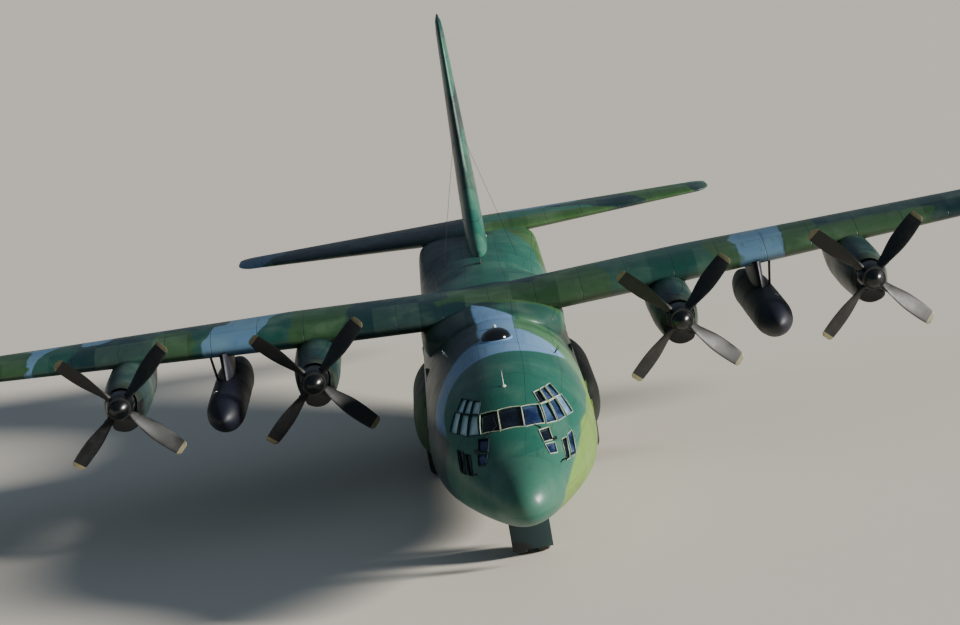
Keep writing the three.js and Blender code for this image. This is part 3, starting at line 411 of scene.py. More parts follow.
@dataclass(frozen=True)
class Body:
    """A body made of sections, with smooth curves between them."""

    rows: tuple[Oval, ...]

    def section(self, station: float) -> Oval:
        """Gives the section at any station."""
        keys = [math.sqrt(row.station - self.rows[0].station) for row in self.rows]
        key = math.sqrt(max(0.0, station - self.rows[0].station))
        names = ("half_width", "top", "bottom", "widest", "flatness", "crown", "x")
        columns = ([getattr(row, name) for row in self.rows] for name in names)
        return Oval(station, *(smooth(keys, column, key) for column in columns))

    def loft(self, name: str, start: float, end: float, step: float, count: int, grow: float = 0.0) -> Piece:
        """Draws the body between two stations as a solid.

        Args:
            name: The new object's name.
            start: First station.
            end: Last station.
            step: Greatest distance between rings.
            count: Points in a ring.
            grow: Distance that the skin is moved outwards.

        Returns:
            The solid.
        """
        share = math.ceil((end - start) / step)
        stations = [mix(start, end, i / share) for i in range(share + 1)]
        return loft(name, [self.section(station).ring(count, grow) for station in stations])


# Shader arithmetic


@dataclass(frozen=True)
class Value:
    """A number that varies over a surface, with the arithmetic of Math nodes."""

    shader: "Shader"
    socket: bpy.types.NodeSocket

    def _math(self, operation: str, *others: "Value | float") -> "Value":
        """Adds a Math node on this value and others."""
        return self.shader.node("ShaderNodeMath", {"operation": operation}, [self, *others])

    def __add__(self, other: "Value | float") -> "Value":
        """Adds."""
        return self._math("ADD", other)

    def __sub__(self, other: "Value | float") -> "Value":
        """Subtracts."""
        return self._math("SUBTRACT", other)

    def __rsub__(self, other: float) -> "Value":
        """Subtracts this value from a number."""
        return self.shader.node("ShaderNodeMath", {"operation": "SUBTRACT"}, [other, self])

    def __mul__(self, other: "Value | float") -> "Value":
        """Multiplies."""
        return self._math("MULTIPLY", other)

    def __truediv__(self, other: "Value | float") -> "Value":
        """Divides."""
        return self._math("DIVIDE", other)

    def __pow__(self, other: float) -> "Value":
        """Raises to a power."""
        return self._math("POWER", other)

    __radd__ = __add__
    __rmul__ = __mul__

    def size(self) -> "Value":
        """Drops the sign."""
        return self._math("ABSOLUTE")

    def fraction(self) -> "Value":
        """Keeps what is left over whole numbers."""
        return self._math("FRACT")

    def least(self, other: "Value | float") -> "Value":
        """Gives the lesser of two."""
        return self._math("MINIMUM", other)

    def most(self, other: "Value | float") -> "Value":
        """Gives the greater of two."""
        return self._math("MAXIMUM", other)

    def ramp(self, start: float, end: float) -> "Value":
        """Rises smoothly from 0 at start to 1 at end; it falls where start is over end."""
        low, high = (start, end) if start < end else (end, start)
        values = (0.0, 1.0) if start < end else (1.0, 0.0)
        return self.shader.node("ShaderNodeMapRange", {"interpolation_type": "SMOOTHSTEP"},
                                [self, low, high, *values])

    def line(self, spacing: float, width: float, shift: float = 0.0) -> "Value":
        """Gives 1 on lines of a width at an even spacing, one of them at the shift."""
        nearest = (((self - shift) / spacing + 0.5).fraction() - 0.5).size() * spacing
        return nearest.ramp(width / 2, width / 5)


Colour = tuple[float, float, float]


def rgb(red: int, green: int, blue: int) -> Colour:
    """Turns a screen colour into light."""
    shares = (part / 255 for part in (red, green, blue))
    return tuple(share / 12.92 if share <= 0.04045 else ((share + 0.055) / 1.055) ** 2.4 for share in shares)


class Shader:
    """A material whose nodes are added by expressions."""

    def __init__(self, name: str) -> None:
        """Starts a material with one surface shader.

        Args:
            name: The material's name.
        """
        self.material = bpy.data.materials.new(name)
        self.material.use_nodes = True
        self.tree = self.material.node_tree
        self.tree.nodes.clear()
        self.surface = self.tree.nodes.new("ShaderNodeBsdfPrincipled")
        output = self.tree.nodes.new("ShaderNodeOutputMaterial")
        self.tree.links.new(self.surface.outputs[0], output.inputs["Surface"])
        self.place = self.node("ShaderNodeTexCoord", {}, {}, "Object")

    def node(self, kind: str, settings: dict[str, object], values: list | dict, output: int | str = 0
             ) -> "Value":
        """Adds one node.

        Args:
            kind: The node's type.
            settings: The node's own settings, set first.
            values: What its sockets hold, by order or by name.
            output: Which output is read.

        Returns:
            The output.
        """
        node = self.tree.nodes.new(kind)
        for name, value in settings.items():
            setattr(node, name, value)
        pairs = values.items() if isinstance(values, dict) else enumerate(values)
        for key, value in pairs:
            if isinstance(value, Value):
                self.tree.links.new(value.socket, node.inputs[key])
            else:
                node.inputs[key].default_value = value
        return Value(self, node.outputs[output])

    def vector(self, operation: str, *values: "Value | Point | float") -> "Value":
        """Adds a Vector Math node; LENGTH and DOT_PRODUCT give a number."""
        number = operation in ("LENGTH", "DOT_PRODUCT")
        return self.node("ShaderNodeVectorMath", {"operation": operation}, list(values),
                         "Value" if number else "Vector")

    def axes(self, vector: "Value") -> tuple["Value", "Value", "Value"]:
        """Splits a vector into its three numbers."""
        node = self.tree.nodes.new("ShaderNodeSeparateXYZ")
        self.tree.links.new(vector.socket, node.inputs[0])
        return tuple(Value(self, output) for output in node.outputs)

    def real(self) -> "Value":
        """Gives the place on the aircraft as real x, station and height."""
        return self.vector("MULTIPLY_ADD", self.place, (1 / SCALE,) * 3, (0.0, LENGTH / 2, 0.0))

    def noise(self, vector: "Value", scale: float, detail: float = 3.0, roughness: float = 0.55) -> "Value":
        """Gives cloudy noise from 0 to 1."""
        return self.node("ShaderNodeTexNoise", {}, {
            "Vector": vector, "Scale": scale, "Detail": detail, "Roughness": roughness}, "Fac")

    def tint(self, share: "Value | float", under: "Value | Colour", over: "Value | Colour") -> "Value":
        """Lays one colour over another.

        Args:
            share: How much of the upper colour shows.
            under: The lower colour.
            over: The upper colour.

        Returns:
            The blended colour.
        """
        def full(colour: "Value | Colour") -> "Value | tuple[float, ...]":
            """Adds the fourth channel to a plain colour."""
            return colour if isinstance(colour, Value) else (*colour, 1.0)

        settings = {"data_type": "RGBA", "blend_type": "MIX", "clamp_result": True}
        return self.node("ShaderNodeMix", settings, {0: share, 6: full(under), 7: full(over)}, 2)

    def layered(self, colour: "Value | Colour", *layers: tuple["Value | float", "Value | Colour"]) -> "Value":
        """Lays colours over one another, each by its own mask, the first one lowest."""
        for mask, over in layers:
            colour = self.tint(mask, colour, over)
        return colour

    def bump(self, height: "Value", distance: float, strength: float = 1.0) -> None:
        """Raises the surface by a height mask."""
        normal = self.node("ShaderNodeBump", {}, {
            "Strength": strength, "Distance": distance, "Height": height}, "Normal")
        self.set(Normal=normal)

    def set(self, **values: object) -> None:
        """Sets or links sockets of the surface, named with _ for spaces."""
        for name, value in values.items():
            socket = self.surface.inputs[name.replace("_", " ")]
            if isinstance(value, Value):
                self.tree.links.new(value.socket, socket)
            elif isinstance(value, tuple) and socket.type == "RGBA":
                socket.default_value = (*value, 1.0)
            else:
                socket.default_value = value


# Finishes


class Tone(Enum):
    """Paints of the camouflage, as light."""

    GREEN = rgb(30, 88, 74)
    SAGE = rgb(66, 108, 74)
    TEAL = rgb(18, 62, 54)
    # DARK is a dark blue-green paint, and also painted shade where the starboard patches and the nose lay it
    # on.
    DARK = rgb(11, 40, 42)
    OLIVE = rgb(98, 130, 46)
    MOSS = rgb(48, 82, 38)
    FOREST = rgb(36, 66, 36)
    PINE = rgb(24, 74, 60)
    BLUE = rgb(104, 140, 178)
    STEEL = rgb(78, 112, 140)
    # BLACK is near-black paint; as the sponsons' base it is painted shade.
    BLACK = rgb(10, 15, 16)
    PALE = rgb(140, 168, 136)


class Surface(Enum):
    """Kinds of camouflaged surface, which differ in their patches and panel lines."""

    BODY = "body"
    WING = "wing"
    FIN = "fin"
    TAILPLANE = "tailplane"
    NACELLE = "nacelle"
    SPONSON = "sponson"


@dataclass(frozen=True)
class Patch:
    """A soft-edged patch of one paint, in a surface's own two coordinates."""

    u: float
    v: float
    half_u: float
    half_v: float
    tone: Tone
    slant: float = 0.0


PATCHES: dict[Surface, tuple[Patch, ...]] = {
    Surface.BODY: (
        # Painted shade: the two DARK patches on the starboard side darken the roof beside the dome and the
        # aft body, as if turned away from the light.
        Patch(-1.5, 9.4, 2.6, 2.2, Tone.DARK),
        Patch(-1.2, 22.5, 2.2, 3.2, Tone.DARK),
        Patch(1.2, 20.5, 2.3, 4.6, Tone.GREEN, 0.1),
        Patch(2.3, 23.0, 0.7, 2.4, Tone.MOSS, -0.4),
        Patch(3.6, 14.6, 1.3, 2.2, Tone.OLIVE, 0.2),
        Patch(-3.6, 15.4, 1.5, 2.4, Tone.OLIVE, -0.2),
        Patch(-3.2, 10.0, 1.1, 1.8, Tone.MOSS, 0.3),
        Patch(0.3, 27.6, 1.0, 1.3, Tone.MOSS),
    ),
    Surface.WING: (
        Patch(2.4, 0.1, 1.0, 0.3, Tone.FOREST, -0.5),
        Patch(4.2, 0.72, 1.4, 0.2, Tone.PINE),
        Patch(6.65, 0.35, 0.42, 0.42, Tone.FOREST, 0.2),
        Patch(7.75, 0.42, 0.78, 0.5, Tone.STEEL, 0.25),
        Patch(8.9, 0.3, 0.5, 0.46, Tone.FOREST, 0.3),
        Patch(10.9, 0.06, 1.7, 0.1, Tone.FOREST),
        Patch(13.2, 0.6, 1.5, 0.4, Tone.DARK, 1.2),
        Patch(15.2, 0.1, 1.5, 0.25, Tone.FOREST, 0.8),
        Patch(17.4, 0.4, 0.8, 0.7, Tone.STEEL, -0.9),
        Patch(-2.6, 0.5, 1.5, 0.7, Tone.DARK, 0.4),
        Patch(-4.7, 0.25, 0.8, 0.3, Tone.FOREST, 0.6),
        Patch(-6.9, 0.3, 0.75, 0.7, Tone.STEEL, 1.4),
        Patch(-8.3, 0.62, 1.1, 0.36, Tone.DARK),
        Patch(-8.9, 0.1, 0.6, 0.22, Tone.FOREST),
        Patch(-11.05, 0.66, 0.42, 0.4, Tone.STEEL, 0.3),
        Patch(-12.7, 0.4, 0.5, 0.7, Tone.STEEL, 1.5),
        Patch(-14.2, 0.1, 1.3, 0.3, Tone.FOREST, 0.5),
        Patch(-17.6, 0.5, 0.9, 0.7, Tone.STEEL, 0.9),
    ),
    Surface.FIN: (
        Patch(9.7, 28.2, 1.3, 0.9, Tone.STEEL, 0.5),
        Patch(6.3, 25.0, 0.8, 1.4, Tone.TEAL, -0.5),
        Patch(11.4, 27.6, 0.5, 1.6, Tone.TEAL),
    ),
    Surface.TAILPLANE: (
        Patch(2.3, 25.7, 2.2, 0.7, Tone.MOSS, 0.3),
        Patch(2.4, 28.6, 1.3, 0.6, Tone.STEEL, 0.2),
        Patch(6.4, 27.2, 1.0, 1.4, Tone.MOSS, -0.3),
        # Painted shade: the broad DARK patch darkens the starboard half, as if the fin and body shaded it.
        Patch(-3.6, 27.4, 3.0, 3.0, Tone.DARK, 0.1),
        Patch(-7.4, 27.6, 0.8, 1.6, Tone.STEEL, 0.5),
    ),
    Surface.NACELLE: (),
    Surface.SPONSON: (),
}


@dataclass(frozen=True)
class Spot:
    """A shaded point: its real place, its distance round the hull and a slow noise for wavy edges."""

    real: Value
    x: Value
    station: Value
    z: Value
    around: Value
    wander: Value

    @classmethod
    def of(cls, shader: Shader) -> "Spot":
        """Reads the point that a shader colours."""
        real = shader.real()
        x, station, z = shader.axes(real)
        turn = shader.node("ShaderNodeMath", {"operation": "ARCTAN2"}, [x, z - HULL_MIDDLE])
        return cls(real, x, station, z, turn * HULL_HALF_WIDTH, (shader.noise(real, 1.1, 2.0) - 0.5) * 0.5)


@dataclass(frozen=True)
class Camouflage:
    """Worn matt paint in broad patches, some of them painted shade on the starboard side, with panel lines,
    rivets, streaks and soot.
    """

    surface: Surface
    name: str
    base: Tone = Tone.GREEN
    roughness: float = 0.4

    def material(self) -> bpy.types.Material:
        """Builds the material."""
        shader = Shader(self.name)
        spot = Spot.of(shader)
        colour = self._clouded(shader, spot)
        u, v = self._coordinates(spot)
        colour = shader.layered(colour, *(
            (self._mask(patch, u, v, spot.wander), patch.tone.value) for patch in PATCHES[self.surface]))
        if self.surface is Surface.BODY:
            colour = self._nose(shader, colour, spot)
        if self.surface is Surface.NACELLE:
            lip = (spot.station + spot.wander * 0.1).ramp(10.42, 10.36)
            colour = shader.tint(lip, colour, Tone.BLACK.value)
        lines = self._lines(spot)
        colour = shader.tint(lines * 0.5, self._weathered(shader, colour, spot), rgb(10, 18, 17))
        grain = shader.noise(spot.real, 2.3, 4.0)
        shader.set(Base_Color=colour, Roughness=grain * 0.22 + (self.roughness - 0.11), Metallic=0.0)
        quilting = shader.noise(spot.real, 1.6, 2.0, 0.4)
        shader.bump(quilting * 0.5 - lines * 0.8 + self._rivets(spot) * 0.25, 0.004, 0.55)
        return shader.material

    def _clouded(self, shader: Shader, spot: Spot) -> Value:
        """Scatters broad dark and olive patches over the base; the fin has fewer of them."""
        rare = 0.08 if self.surface is Surface.FIN else 0.0
        light = Tone.FOREST if self.surface is Surface.WING else Tone.MOSS
        first = shader.noise(spot.real, 0.3, 1.5, 0.4)
        second = shader.noise(shader.vector("ADD", spot.real, (17.0, 5.0, 9.0)), 0.26, 1.5, 0.4)
        return shader.layered(
            self.base.value,
            ((first + spot.wander * 0.06).ramp(0.535 + rare, 0.55 + rare), Tone.DARK.value),
            ((second + spot.wander * 0.06).ramp(0.57 + rare, 0.585 + rare), light.value))

    def _coordinates(self, spot: Spot) -> tuple[Value, Value]:
        """Chooses the two coordinates that the surface's patches are placed by."""
        return {
            Surface.WING: lambda: (spot.x, WingShape.chord_share(spot.x, spot.station)),
            Surface.FIN: lambda: (spot.z, spot.station),
            Surface.TAILPLANE: lambda: (spot.x, spot.station),
        }.get(self.surface, lambda: (spot.around, spot.station))()

    @staticmethod
    def _mask(patch: Patch, u: Value, v: Value, wander: Value) -> Value:
        """Gives the mask of one patch, its edge warped by noise."""
        across = (u - patch.u - (v - patch.v) * patch.slant) / patch.half_u
        along = (v - patch.v) / patch.half_v
        reach = (across.size() ** 3.0 + along.size() ** 3.0) ** (1 / 3) + wander * 1.3
        return reach.ramp(1.03, 0.97)

    @staticmethod
    def _nose(shader: Shader, colour: Value, spot: Spot) -> Value:
        """Paints the nose green, its port cheek olive and a blue-grey band over the roof behind it, and lays
        painted shade over the starboard side.
        """
        x, station, z, around, wander = spot.x, spot.station, spot.z, spot.around, spot.wander
        forward = station.ramp(12.2, 11.9)
        flank = shader.tint((around + wander).ramp(2.2, 3.4), Tone.GREEN.value, Tone.MOSS.value)
        front = (6.5 + around * 0.25 + around ** 3.0 * 0.16).most(3.6)
        port_rear = 11.8 - around * 1.5
        starboard_rear = 8.6 - around * around * 0.57
        back = (around + 0.46 + wander * 0.3).ramp(-0.05, 0.05).most(
            (starboard_rear - station + wander * 0.4).ramp(-0.08, 0.08))
        band = (port_rear - station + wander * 0.3).ramp(-0.08, 0.08) * back
        # On the starboard side the band ends above the cheek, so the painted shade shows below it.
        band = band * (z + wander * 0.2).ramp(3.2, 3.45).most(x.ramp(0.0, 0.1))
        cap = (front - station + wander * 0.25).ramp(-0.07, 0.07)
        shoulder = (station * 0.6 - 1.17 - z + wander * 0.3).ramp(-0.06, 0.06) * station.ramp(11.3, 10.6)
        wave = shader.noise(spot.real, 0.3, 1.0) - 0.5
        cheek = (station * 0.36 + 1.75).least(3.15) + wave * station.ramp(5.0, 7.5) * 2.4
        olive = (cheek - z + wander * 0.25).ramp(-0.05, 0.05) * z.ramp(0.95, 1.25) * station.ramp(1.2, 1.5)
        # The olive keeps to the port cheek; the starboard cheek is left in painted shade.
        olive = olive * station.ramp(11.4, 10.8) * (x + wander * 0.5).ramp(0.55, 0.75)
        return shader.layered(
            colour,
            (forward * x.ramp(-0.1, 0.5), flank),
            # Painted shade: DARK over the starboard side ahead of the wing.
            (forward * x.ramp(0.1, -0.5), Tone.DARK.value),
            (forward * station.ramp(10.3, 10.8) * x.ramp(0.2, 0.6), Tone.TEAL.value),
            (band, Tone.BLUE.value),
            (cap, Tone.GREEN.value),
            (shoulder * x.ramp(0.5, 0.6), Tone.SAGE.value),
            (olive, Tone.OLIVE.value))

    def _weathered(self, shader: Shader, colour: Value, spot: Spot) -> Value:
        """Fades the paint in clouds, streaks it along the airflow and blackens it behind the exhausts."""
        clouds = shader.noise(spot.real, 0.9, 4.0)
        cells = self._cells(shader, spot)
        panels = shader.node("ShaderNodeTexWhiteNoise", {"noise_dimensions": "3D"}, [cells])
        uneven = shader.tint(panels.ramp(0.49, 0.51), rgb(14, 30, 26), Tone.PALE.value)
        streaks = shader.noise(shader.vector("MULTIPLY", spot.real, (5.0, 0.5, 5.0)), 1.0, 3.0)
        spots = shader.noise(spot.real, 14.0, 2.0)
        colour = shader.layered(
            colour,
            (clouds.ramp(0.45, 0.75) * 0.13, Tone.PALE.value),
            ((panels - 0.5).size() * 0.16, uneven),
            (streaks.ramp(0.55, 0.8) * 0.35, rgb(24, 34, 28)),
            (spots.ramp(0.68, 0.74) * 0.45, rgb(24, 30, 26)))
        if self.surface in (Surface.NACELLE, Surface.WING):
            side, (outer, inner) = spot.x.size(), ENGINE_PLACES
            near = (side - outer).size().least((side - inner).size())
            near = near + (shader.noise(spot.real, 2.0) - 0.5) * 0.4
            soot = near.ramp(0.62, 0.1) * spot.station.ramp(14.0, 15.6) * spot.z.ramp(4.9, 4.4)
            colour = shader.tint(soot * 0.8, colour, rgb(18, 18, 17))
        return colour

    def _cells(self, shader: Shader, spot: Spot) -> Value:
        """Gives each skin panel a number of its own."""
        size = {Surface.WING: (1.3, 1.1, 40.0), Surface.FIN: (40.0, 1.1, 1.25),
                Surface.TAILPLANE: (1.2, 1.05, 40.0)}.get(self.surface, (1.45, 1.52, 1.05))
        shift = (0.5 * size[0], 0.02, 0.0)
        return shader.vector("FLOOR", shader.vector("DIVIDE", shader.vector("ADD", spot.real, shift), size))

    def _lines(self, spot: Spot) -> Value:
        """Gives the seams between skin panels."""
        x, station, z = spot.x, spot.station, spot.z
        match self.surface:
            case Surface.WING:
                return x.line(1.3, 0.03).most(WingShape.chord_share(x, station).line(0.22, 0.006, 0.13))
            case Surface.FIN:
                return z.line(1.25, 0.03, 0.4).most(station.line(1.1, 0.03))
            case Surface.TAILPLANE:
                return x.line(1.2, 0.03).most(station.line(1.05, 0.03))
            case Surface.NACELLE:
                return station.line(0.95, 0.03, 0.2).most(z.line(0.55, 0.025, 0.1) * station.ramp(10.2, 10.4))
            case _:
                seams = station.line(1.52, 0.03, 0.02).most(spot.around.line(1.08, 0.026, 0.55))
                return seams * station.ramp(1.52, 1.56)

    def _rivets(self, spot: Spot) -> Value:
        """Gives rows of rivets beside the seams."""
        first, second = {
            Surface.WING: (spot.x, spot.station), Surface.FIN: (spot.z, spot.station),
            Surface.TAILPLANE: (spot.x, spot.station),
        }.get(self.surface, (spot.station, spot.around))
        rows = first.line(0.38, 0.034, 0.06) * second.line(0.08, 0.034)
        rows = rows.most(second.line(0.36, 0.034, 0.05) * first.line(0.08, 0.034))
        return rows * spot.station.ramp(1.6, 1.64)


@dataclass(frozen=True)
class Coat:
    """A plain paint, metal, rubber or plastic with grime, wear and a fine grain."""

    name: str
    colour: Colour
    dirt: Colour = rgb(22, 20, 17)
    roughness: float = 0.5
    metallic: float = 0.0
    scale: float = 6.0
    grain: float = 60.0
    relief: float = 0.0006
    shabby: float = 0.35
    coat: float = 0.0

    def material(self) -> bpy.types.Material:
        """Builds the material."""
        shader = Shader(self.name)
        clouds = shader.noise(shader.place, self.scale, 5.0)
        fine = shader.noise(shader.place, self.grain, 3.0)
        worn = tuple(min(1.0, part * 1.5 + 0.03) for part in self.colour)
        colour = shader.layered(self.colour, (clouds.ramp(0.42, 0.72) * self.shabby, self.dirt),
                                (fine.ramp(0.6, 0.78) * self.shabby * 0.5, worn))
        shader.set(Base_Color=colour, Metallic=self.metallic, Coat_Weight=self.coat,
                   Roughness=clouds * 0.25 + fine * 0.1 + (self.roughness - 0.17))
        shader.bump(fine * 0.6 + clouds * 0.4, self.relief, 0.6)
        return shader.material


@dataclass(frozen=True)
class Glass:
    """Window glass, clouded in places, with scratches and a hint of what lies behind it; the clouding colour
    is partly painted sky reflection, and the sky and pale glasses' own colour is painted sky reflection.
    """

    name: str
    colour: Colour
    haze_and_reflection: Colour
    haze_and_reflection_share: float = 0.3
    alpha: float = 0.9

    def material(self) -> bpy.types.Material:
        """Builds the material."""
        shader = Shader(self.name)
        clouds = shader.noise(shader.place, 4.5, 3.0)
        edge = shader.noise(shader.place, 40.0, 4.0)
        colour = shader.layered(self.colour, (clouds.ramp(0.35, 0.75) * self.haze_and_reflection_share, self.haze_and_reflection),
                                (edge.ramp(0.68, 0.8) * 0.25, self.haze_and_reflection))
        shader.set(Base_Color=colour, Roughness=edge * 0.06 + 0.03, Metallic=0.0,
                   Alpha=clouds * 0.12 + (self.alpha - 0.06))
        shader.bump(clouds, 0.0008, 0.3)
        return shader.material


@dataclass(frozen=True)
class Tyre:
    """Worn rubber with dust on the shoulders and fine sidewall rings."""

    name: str
    axle: Vector

    def material(self) -> bpy.types.Material:
        """Builds the material."""
        shader = Shader(self.name)
        away = shader.vector("SUBTRACT", shader.place, tuple(self.axle))
        radius = shader.vector("LENGTH", shader.vector("MULTIPLY", away, (0.0, 1.0, 1.0)))
        dust = shader.noise(shader.place, 9.0, 5.0)
        colour = shader.layered(rgb(27, 27, 27), (dust.ramp(0.4, 0.75) * 0.55, rgb(86, 80, 70)),
                                (radius.line(0.02, 0.004) * 0.35, rgb(12, 12, 12)))
        shader.set(Base_Color=colour, Roughness=dust * 0.2 + 0.72, Metallic=0.0)
        shader.bump(shader.noise(shader.place, 120.0, 3.0) * 0.5 - radius.line(0.02, 0.004) * 0.6, 0.001, 0.6)
        return shader.material


def coats() -> dict[str, bpy.types.Material]:
    """Builds each finish once.

    Returns:
        The materials by name.
    """
    finishes = [
        Camouflage(Surface.BODY, "camouflage_body"),
        Camouflage(Surface.WING, "camouflage_wing", Tone.TEAL),
        Camouflage(Surface.FIN, "camouflage_fin"),
        Camouflage(Surface.TAILPLANE, "camouflage_tailplane"),
        Camouflage(Surface.NACELLE, "camouflage_nacelle", Tone.DARK, 0.4),
        # The sponsons' near-black base is painted shade, as if the wing shaded them; the gear doors share
        # this paint.
        Camouflage(Surface.SPONSON, "camouflage_sponson_painted_shade", Tone.BLACK, 0.62),
        Coat("window_frame", rgb(188, 196, 170), rgb(90, 98, 80), 0.55, scale=12, shabby=0.4),
        # A dark copy of the pale frame paint, used for the starboard frames as painted shade.
        Coat("window_frame_painted_shade", rgb(16, 26, 32), rgb(40, 54, 58), 0.5, scale=12, shabby=0.4),
        Coat("anti_glare_black", rgb(14, 15, 17), rgb(40, 42, 42), 0.42, scale=5),
        Coat("tank_paint", rgb(6, 9, 27), rgb(15, 19, 32), 0.56, scale=3, shabby=0.3),
        Coat("blade_black", rgb(20, 22, 22), rgb(58, 58, 52), 0.5, scale=9, shabby=0.25),
        Coat("blade_tip", rgb(118, 112, 84), rgb(52, 48, 38), 0.45, scale=16),
        Coat("spinner_black", rgb(6, 8, 9), rgb(20, 22, 22), 0.3, scale=6, shabby=0.25, coat=0.1),
        Coat("dome_black", rgb(8, 9, 10), rgb(36, 38, 40), 0.16, scale=3, shabby=0.2, coat=0.7),
        # Black that stands for the shade inside intakes and vents: painted shade.
        Coat("intake_painted_shade", rgb(9, 10, 10), rgb(30, 28, 26), 0.75, scale=8),
        Coat("exhaust_metal", rgb(92, 78, 66), rgb(26, 22, 20), 0.42, 0.9, scale=8, shabby=0.6),
        Coat("bare_metal", rgb(176, 178, 178), rgb(86, 80, 70), 0.3, 1.0, scale=10),
        Coat("gear_white", rgb(198, 200, 194), rgb(84, 72, 56), 0.42, scale=9, shabby=0.5),
        Coat("chrome_rod", rgb(214, 216, 218), rgb(140, 136, 128), 0.17, 1.0, scale=12, shabby=0.15),
        Coat("brake_hose", rgb(22, 22, 23), rgb(70, 66, 60), 0.6, scale=20),
        Coat("well_primer", rgb(150, 156, 118), rgb(70, 64, 48), 0.6, scale=5, shabby=0.5),
        Coat("hold_lining", rgb(122, 134, 122), rgb(64, 64, 56), 0.62, scale=2.5),
        Coat("hold_floor", rgb(96, 100, 100), rgb(48, 44, 38), 0.55, 0.25, scale=3, shabby=0.6),
        Coat("cockpit_grey", rgb(66, 72, 74), rgb(30, 32, 32), 0.6, scale=8),
        Coat("instrument_black", rgb(18, 19, 20), rgb(52, 54, 54), 0.4, scale=16),
        Coat("seat_cloth", rgb(58, 74, 56), rgb(30, 34, 26), 0.85, grain=220, relief=0.0012),
        Coat("antenna_white", rgb(206, 210, 200), rgb(120, 120, 108), 0.45, scale=14),
        Coat("wheel_hub", rgb(150, 154, 156), rgb(54, 46, 38), 0.4, 0.6, scale=12, shabby=0.6),
        # Painted reflections: the blue glass's colour and clouding are partly painted sky reflection; the sky
        # and pale glasses are painted sky reflection, the pale one for the bright panes on the starboard
        # side.
        Glass("glass_dark", rgb(9, 13, 20), rgb(60, 78, 104), 0.2, 0.93),
        Glass("glass_blue_painted_reflection", rgb(17, 31, 64), rgb(110, 142, 184), 0.4, 0.93),
        Glass("glass_painted_sky_reflection", rgb(64, 98, 136), rgb(180, 208, 228), 0.7, 0.93),
        Glass("glass_painted_pale_reflection", rgb(168, 206, 208), rgb(220, 238, 238), 0.6, 0.94),
        Glass("red_light_glass", rgb(150, 16, 14), rgb(220, 90, 80), 0.2, 0.95),
        Glass("green_light_glass", rgb(14, 120, 60), rgb(90, 200, 140), 0.2, 0.95),
        Glass("clear_light_glass", rgb(196, 204, 208), rgb(235, 238, 240), 0.3, 0.9),
        Tyre("tyre_rubber_main", at(0, 13.97, MAIN_WHEEL_RADIUS)),
        Tyre("tyre_rubber_nose", at(0, NOSE_GEAR_STATION, NOSE_WHEEL_RADIUS)),
    ]
    return {finish.name: finish.material() for finish in finishes}


PAINT: dict[str, bpy.types.Material] = {}


def dress(
    piece: Piece, finish: str, body: str = "airframe", replaces: str | None = None,
    degrees: float = 32
) -> None:
    """Smooths a piece and gives it its finish and the body that it moves with.

    Args:
        piece: The finished mesh.
        finish: Name of the material.
        body: Body of the model.
        replaces: The node that the piece stands for.
        degrees: Angle over which an edge stays sharp; at 0 the piece stays flat.
    """
    if degrees:
        smoothed(piece, degrees)
    piece.data.materials.clear()
    piece.data.materials.append(PAINT[finish])
    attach(piece, body)
    if replaces:
        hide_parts(replaces)


def fitting(name: str, profile: Outline, place: Point, axis: Vector, finish: str,
            sides: int = 32) -> None:
    """Builds and dresses a small turned piece at a real place, such as a lamp or a vent."""
    dress(turned(name, profile, at(*place), axis, sides), finish)


def dress_node(name: str, finish: str) -> None:
    """Gives a node that stays as it is a better finish."""
    node = frame["nodes"][name]
    node.data.materials.clear()
    node.data.materials.append(PAINT[finish])


# Fuselage

HULL = Body(tuple(Oval(*row) for row in (
    (0.0, 0.1, 2.38, 2.18, 2.28),
    (0.08, 0.28, 2.55, 2.01, 2.28),
    (0.3, 0.49, 2.76, 1.83, 2.28),
    (0.8, 0.76, 2.97, 1.64, 2.27),
    (1.55, 1.06, 3.15, 1.47, 2.27),
    (2.45, 1.4, 3.56, 1.29, 2.32),
    (3.05, 1.6, 3.97, 1.17, 2.36),
    (4.0, 1.85, 4.34, 1.0, 2.4, 2.05),
    (5.0, 2.03, 4.53, 0.82, 2.43, 2.15),
    (6.22, 2.13, 4.6, 0.66, 2.44, 2.25),
    (8.0, 2.16, 4.6, 0.6, 2.44, 2.3),
    (18.72, 2.16, 4.6, 0.6, 2.44, 2.3),
    (19.8, 2.12, 4.6, 0.83, 2.5, 2.3, 2.1),
    (21.85, 2.07, 4.6, 1.48, 2.9, 2.25, 2.4),
    (23.5, 2.01, 4.6, 2.04, 3.4, 2.2, 3.2),
    (25.1, 1.94, 4.6, 2.6, 3.8, 2.1, 4.5),
    (26.6, 1.36, 4.57, 3.12, 4.0, 2.0, 3.2),
    (27.6, 0.72, 4.52, 3.44, 4.0, 2.0, 2.2),
    (27.95, 0.62, 4.5, 3.56, 3.98),
    (29.1, 0.36, 4.44, 3.92, 4.16),
    (29.79, 0.16, 4.36, 4.1, 4.23),
)))


def hull_angle(x: float, station: float, z: float) -> float:
    """Gives the angle round the hull's section at which a point lies."""
    section = HULL.section(station)
    reach = section.widest - section.bottom if z < section.widest else section.top - section.widest
    power = (section.flatness if z < section.widest else section.crown) / 2
    c = min(1.0, abs(x) / section.half_width) ** power
    s = min(1.0, abs(z - section.widest) / reach) ** power
    return math.atan2(math.copysign(s, z - section.widest), math.copysign(c, x))


def on_hull(x: float, station: float, z: float, proud: float = 0.0) -> Vector:
    """Moves a point onto the hull's skin, or a little proud of it."""
    return HULL.section(station).point(hull_angle(x, station, z), proud)


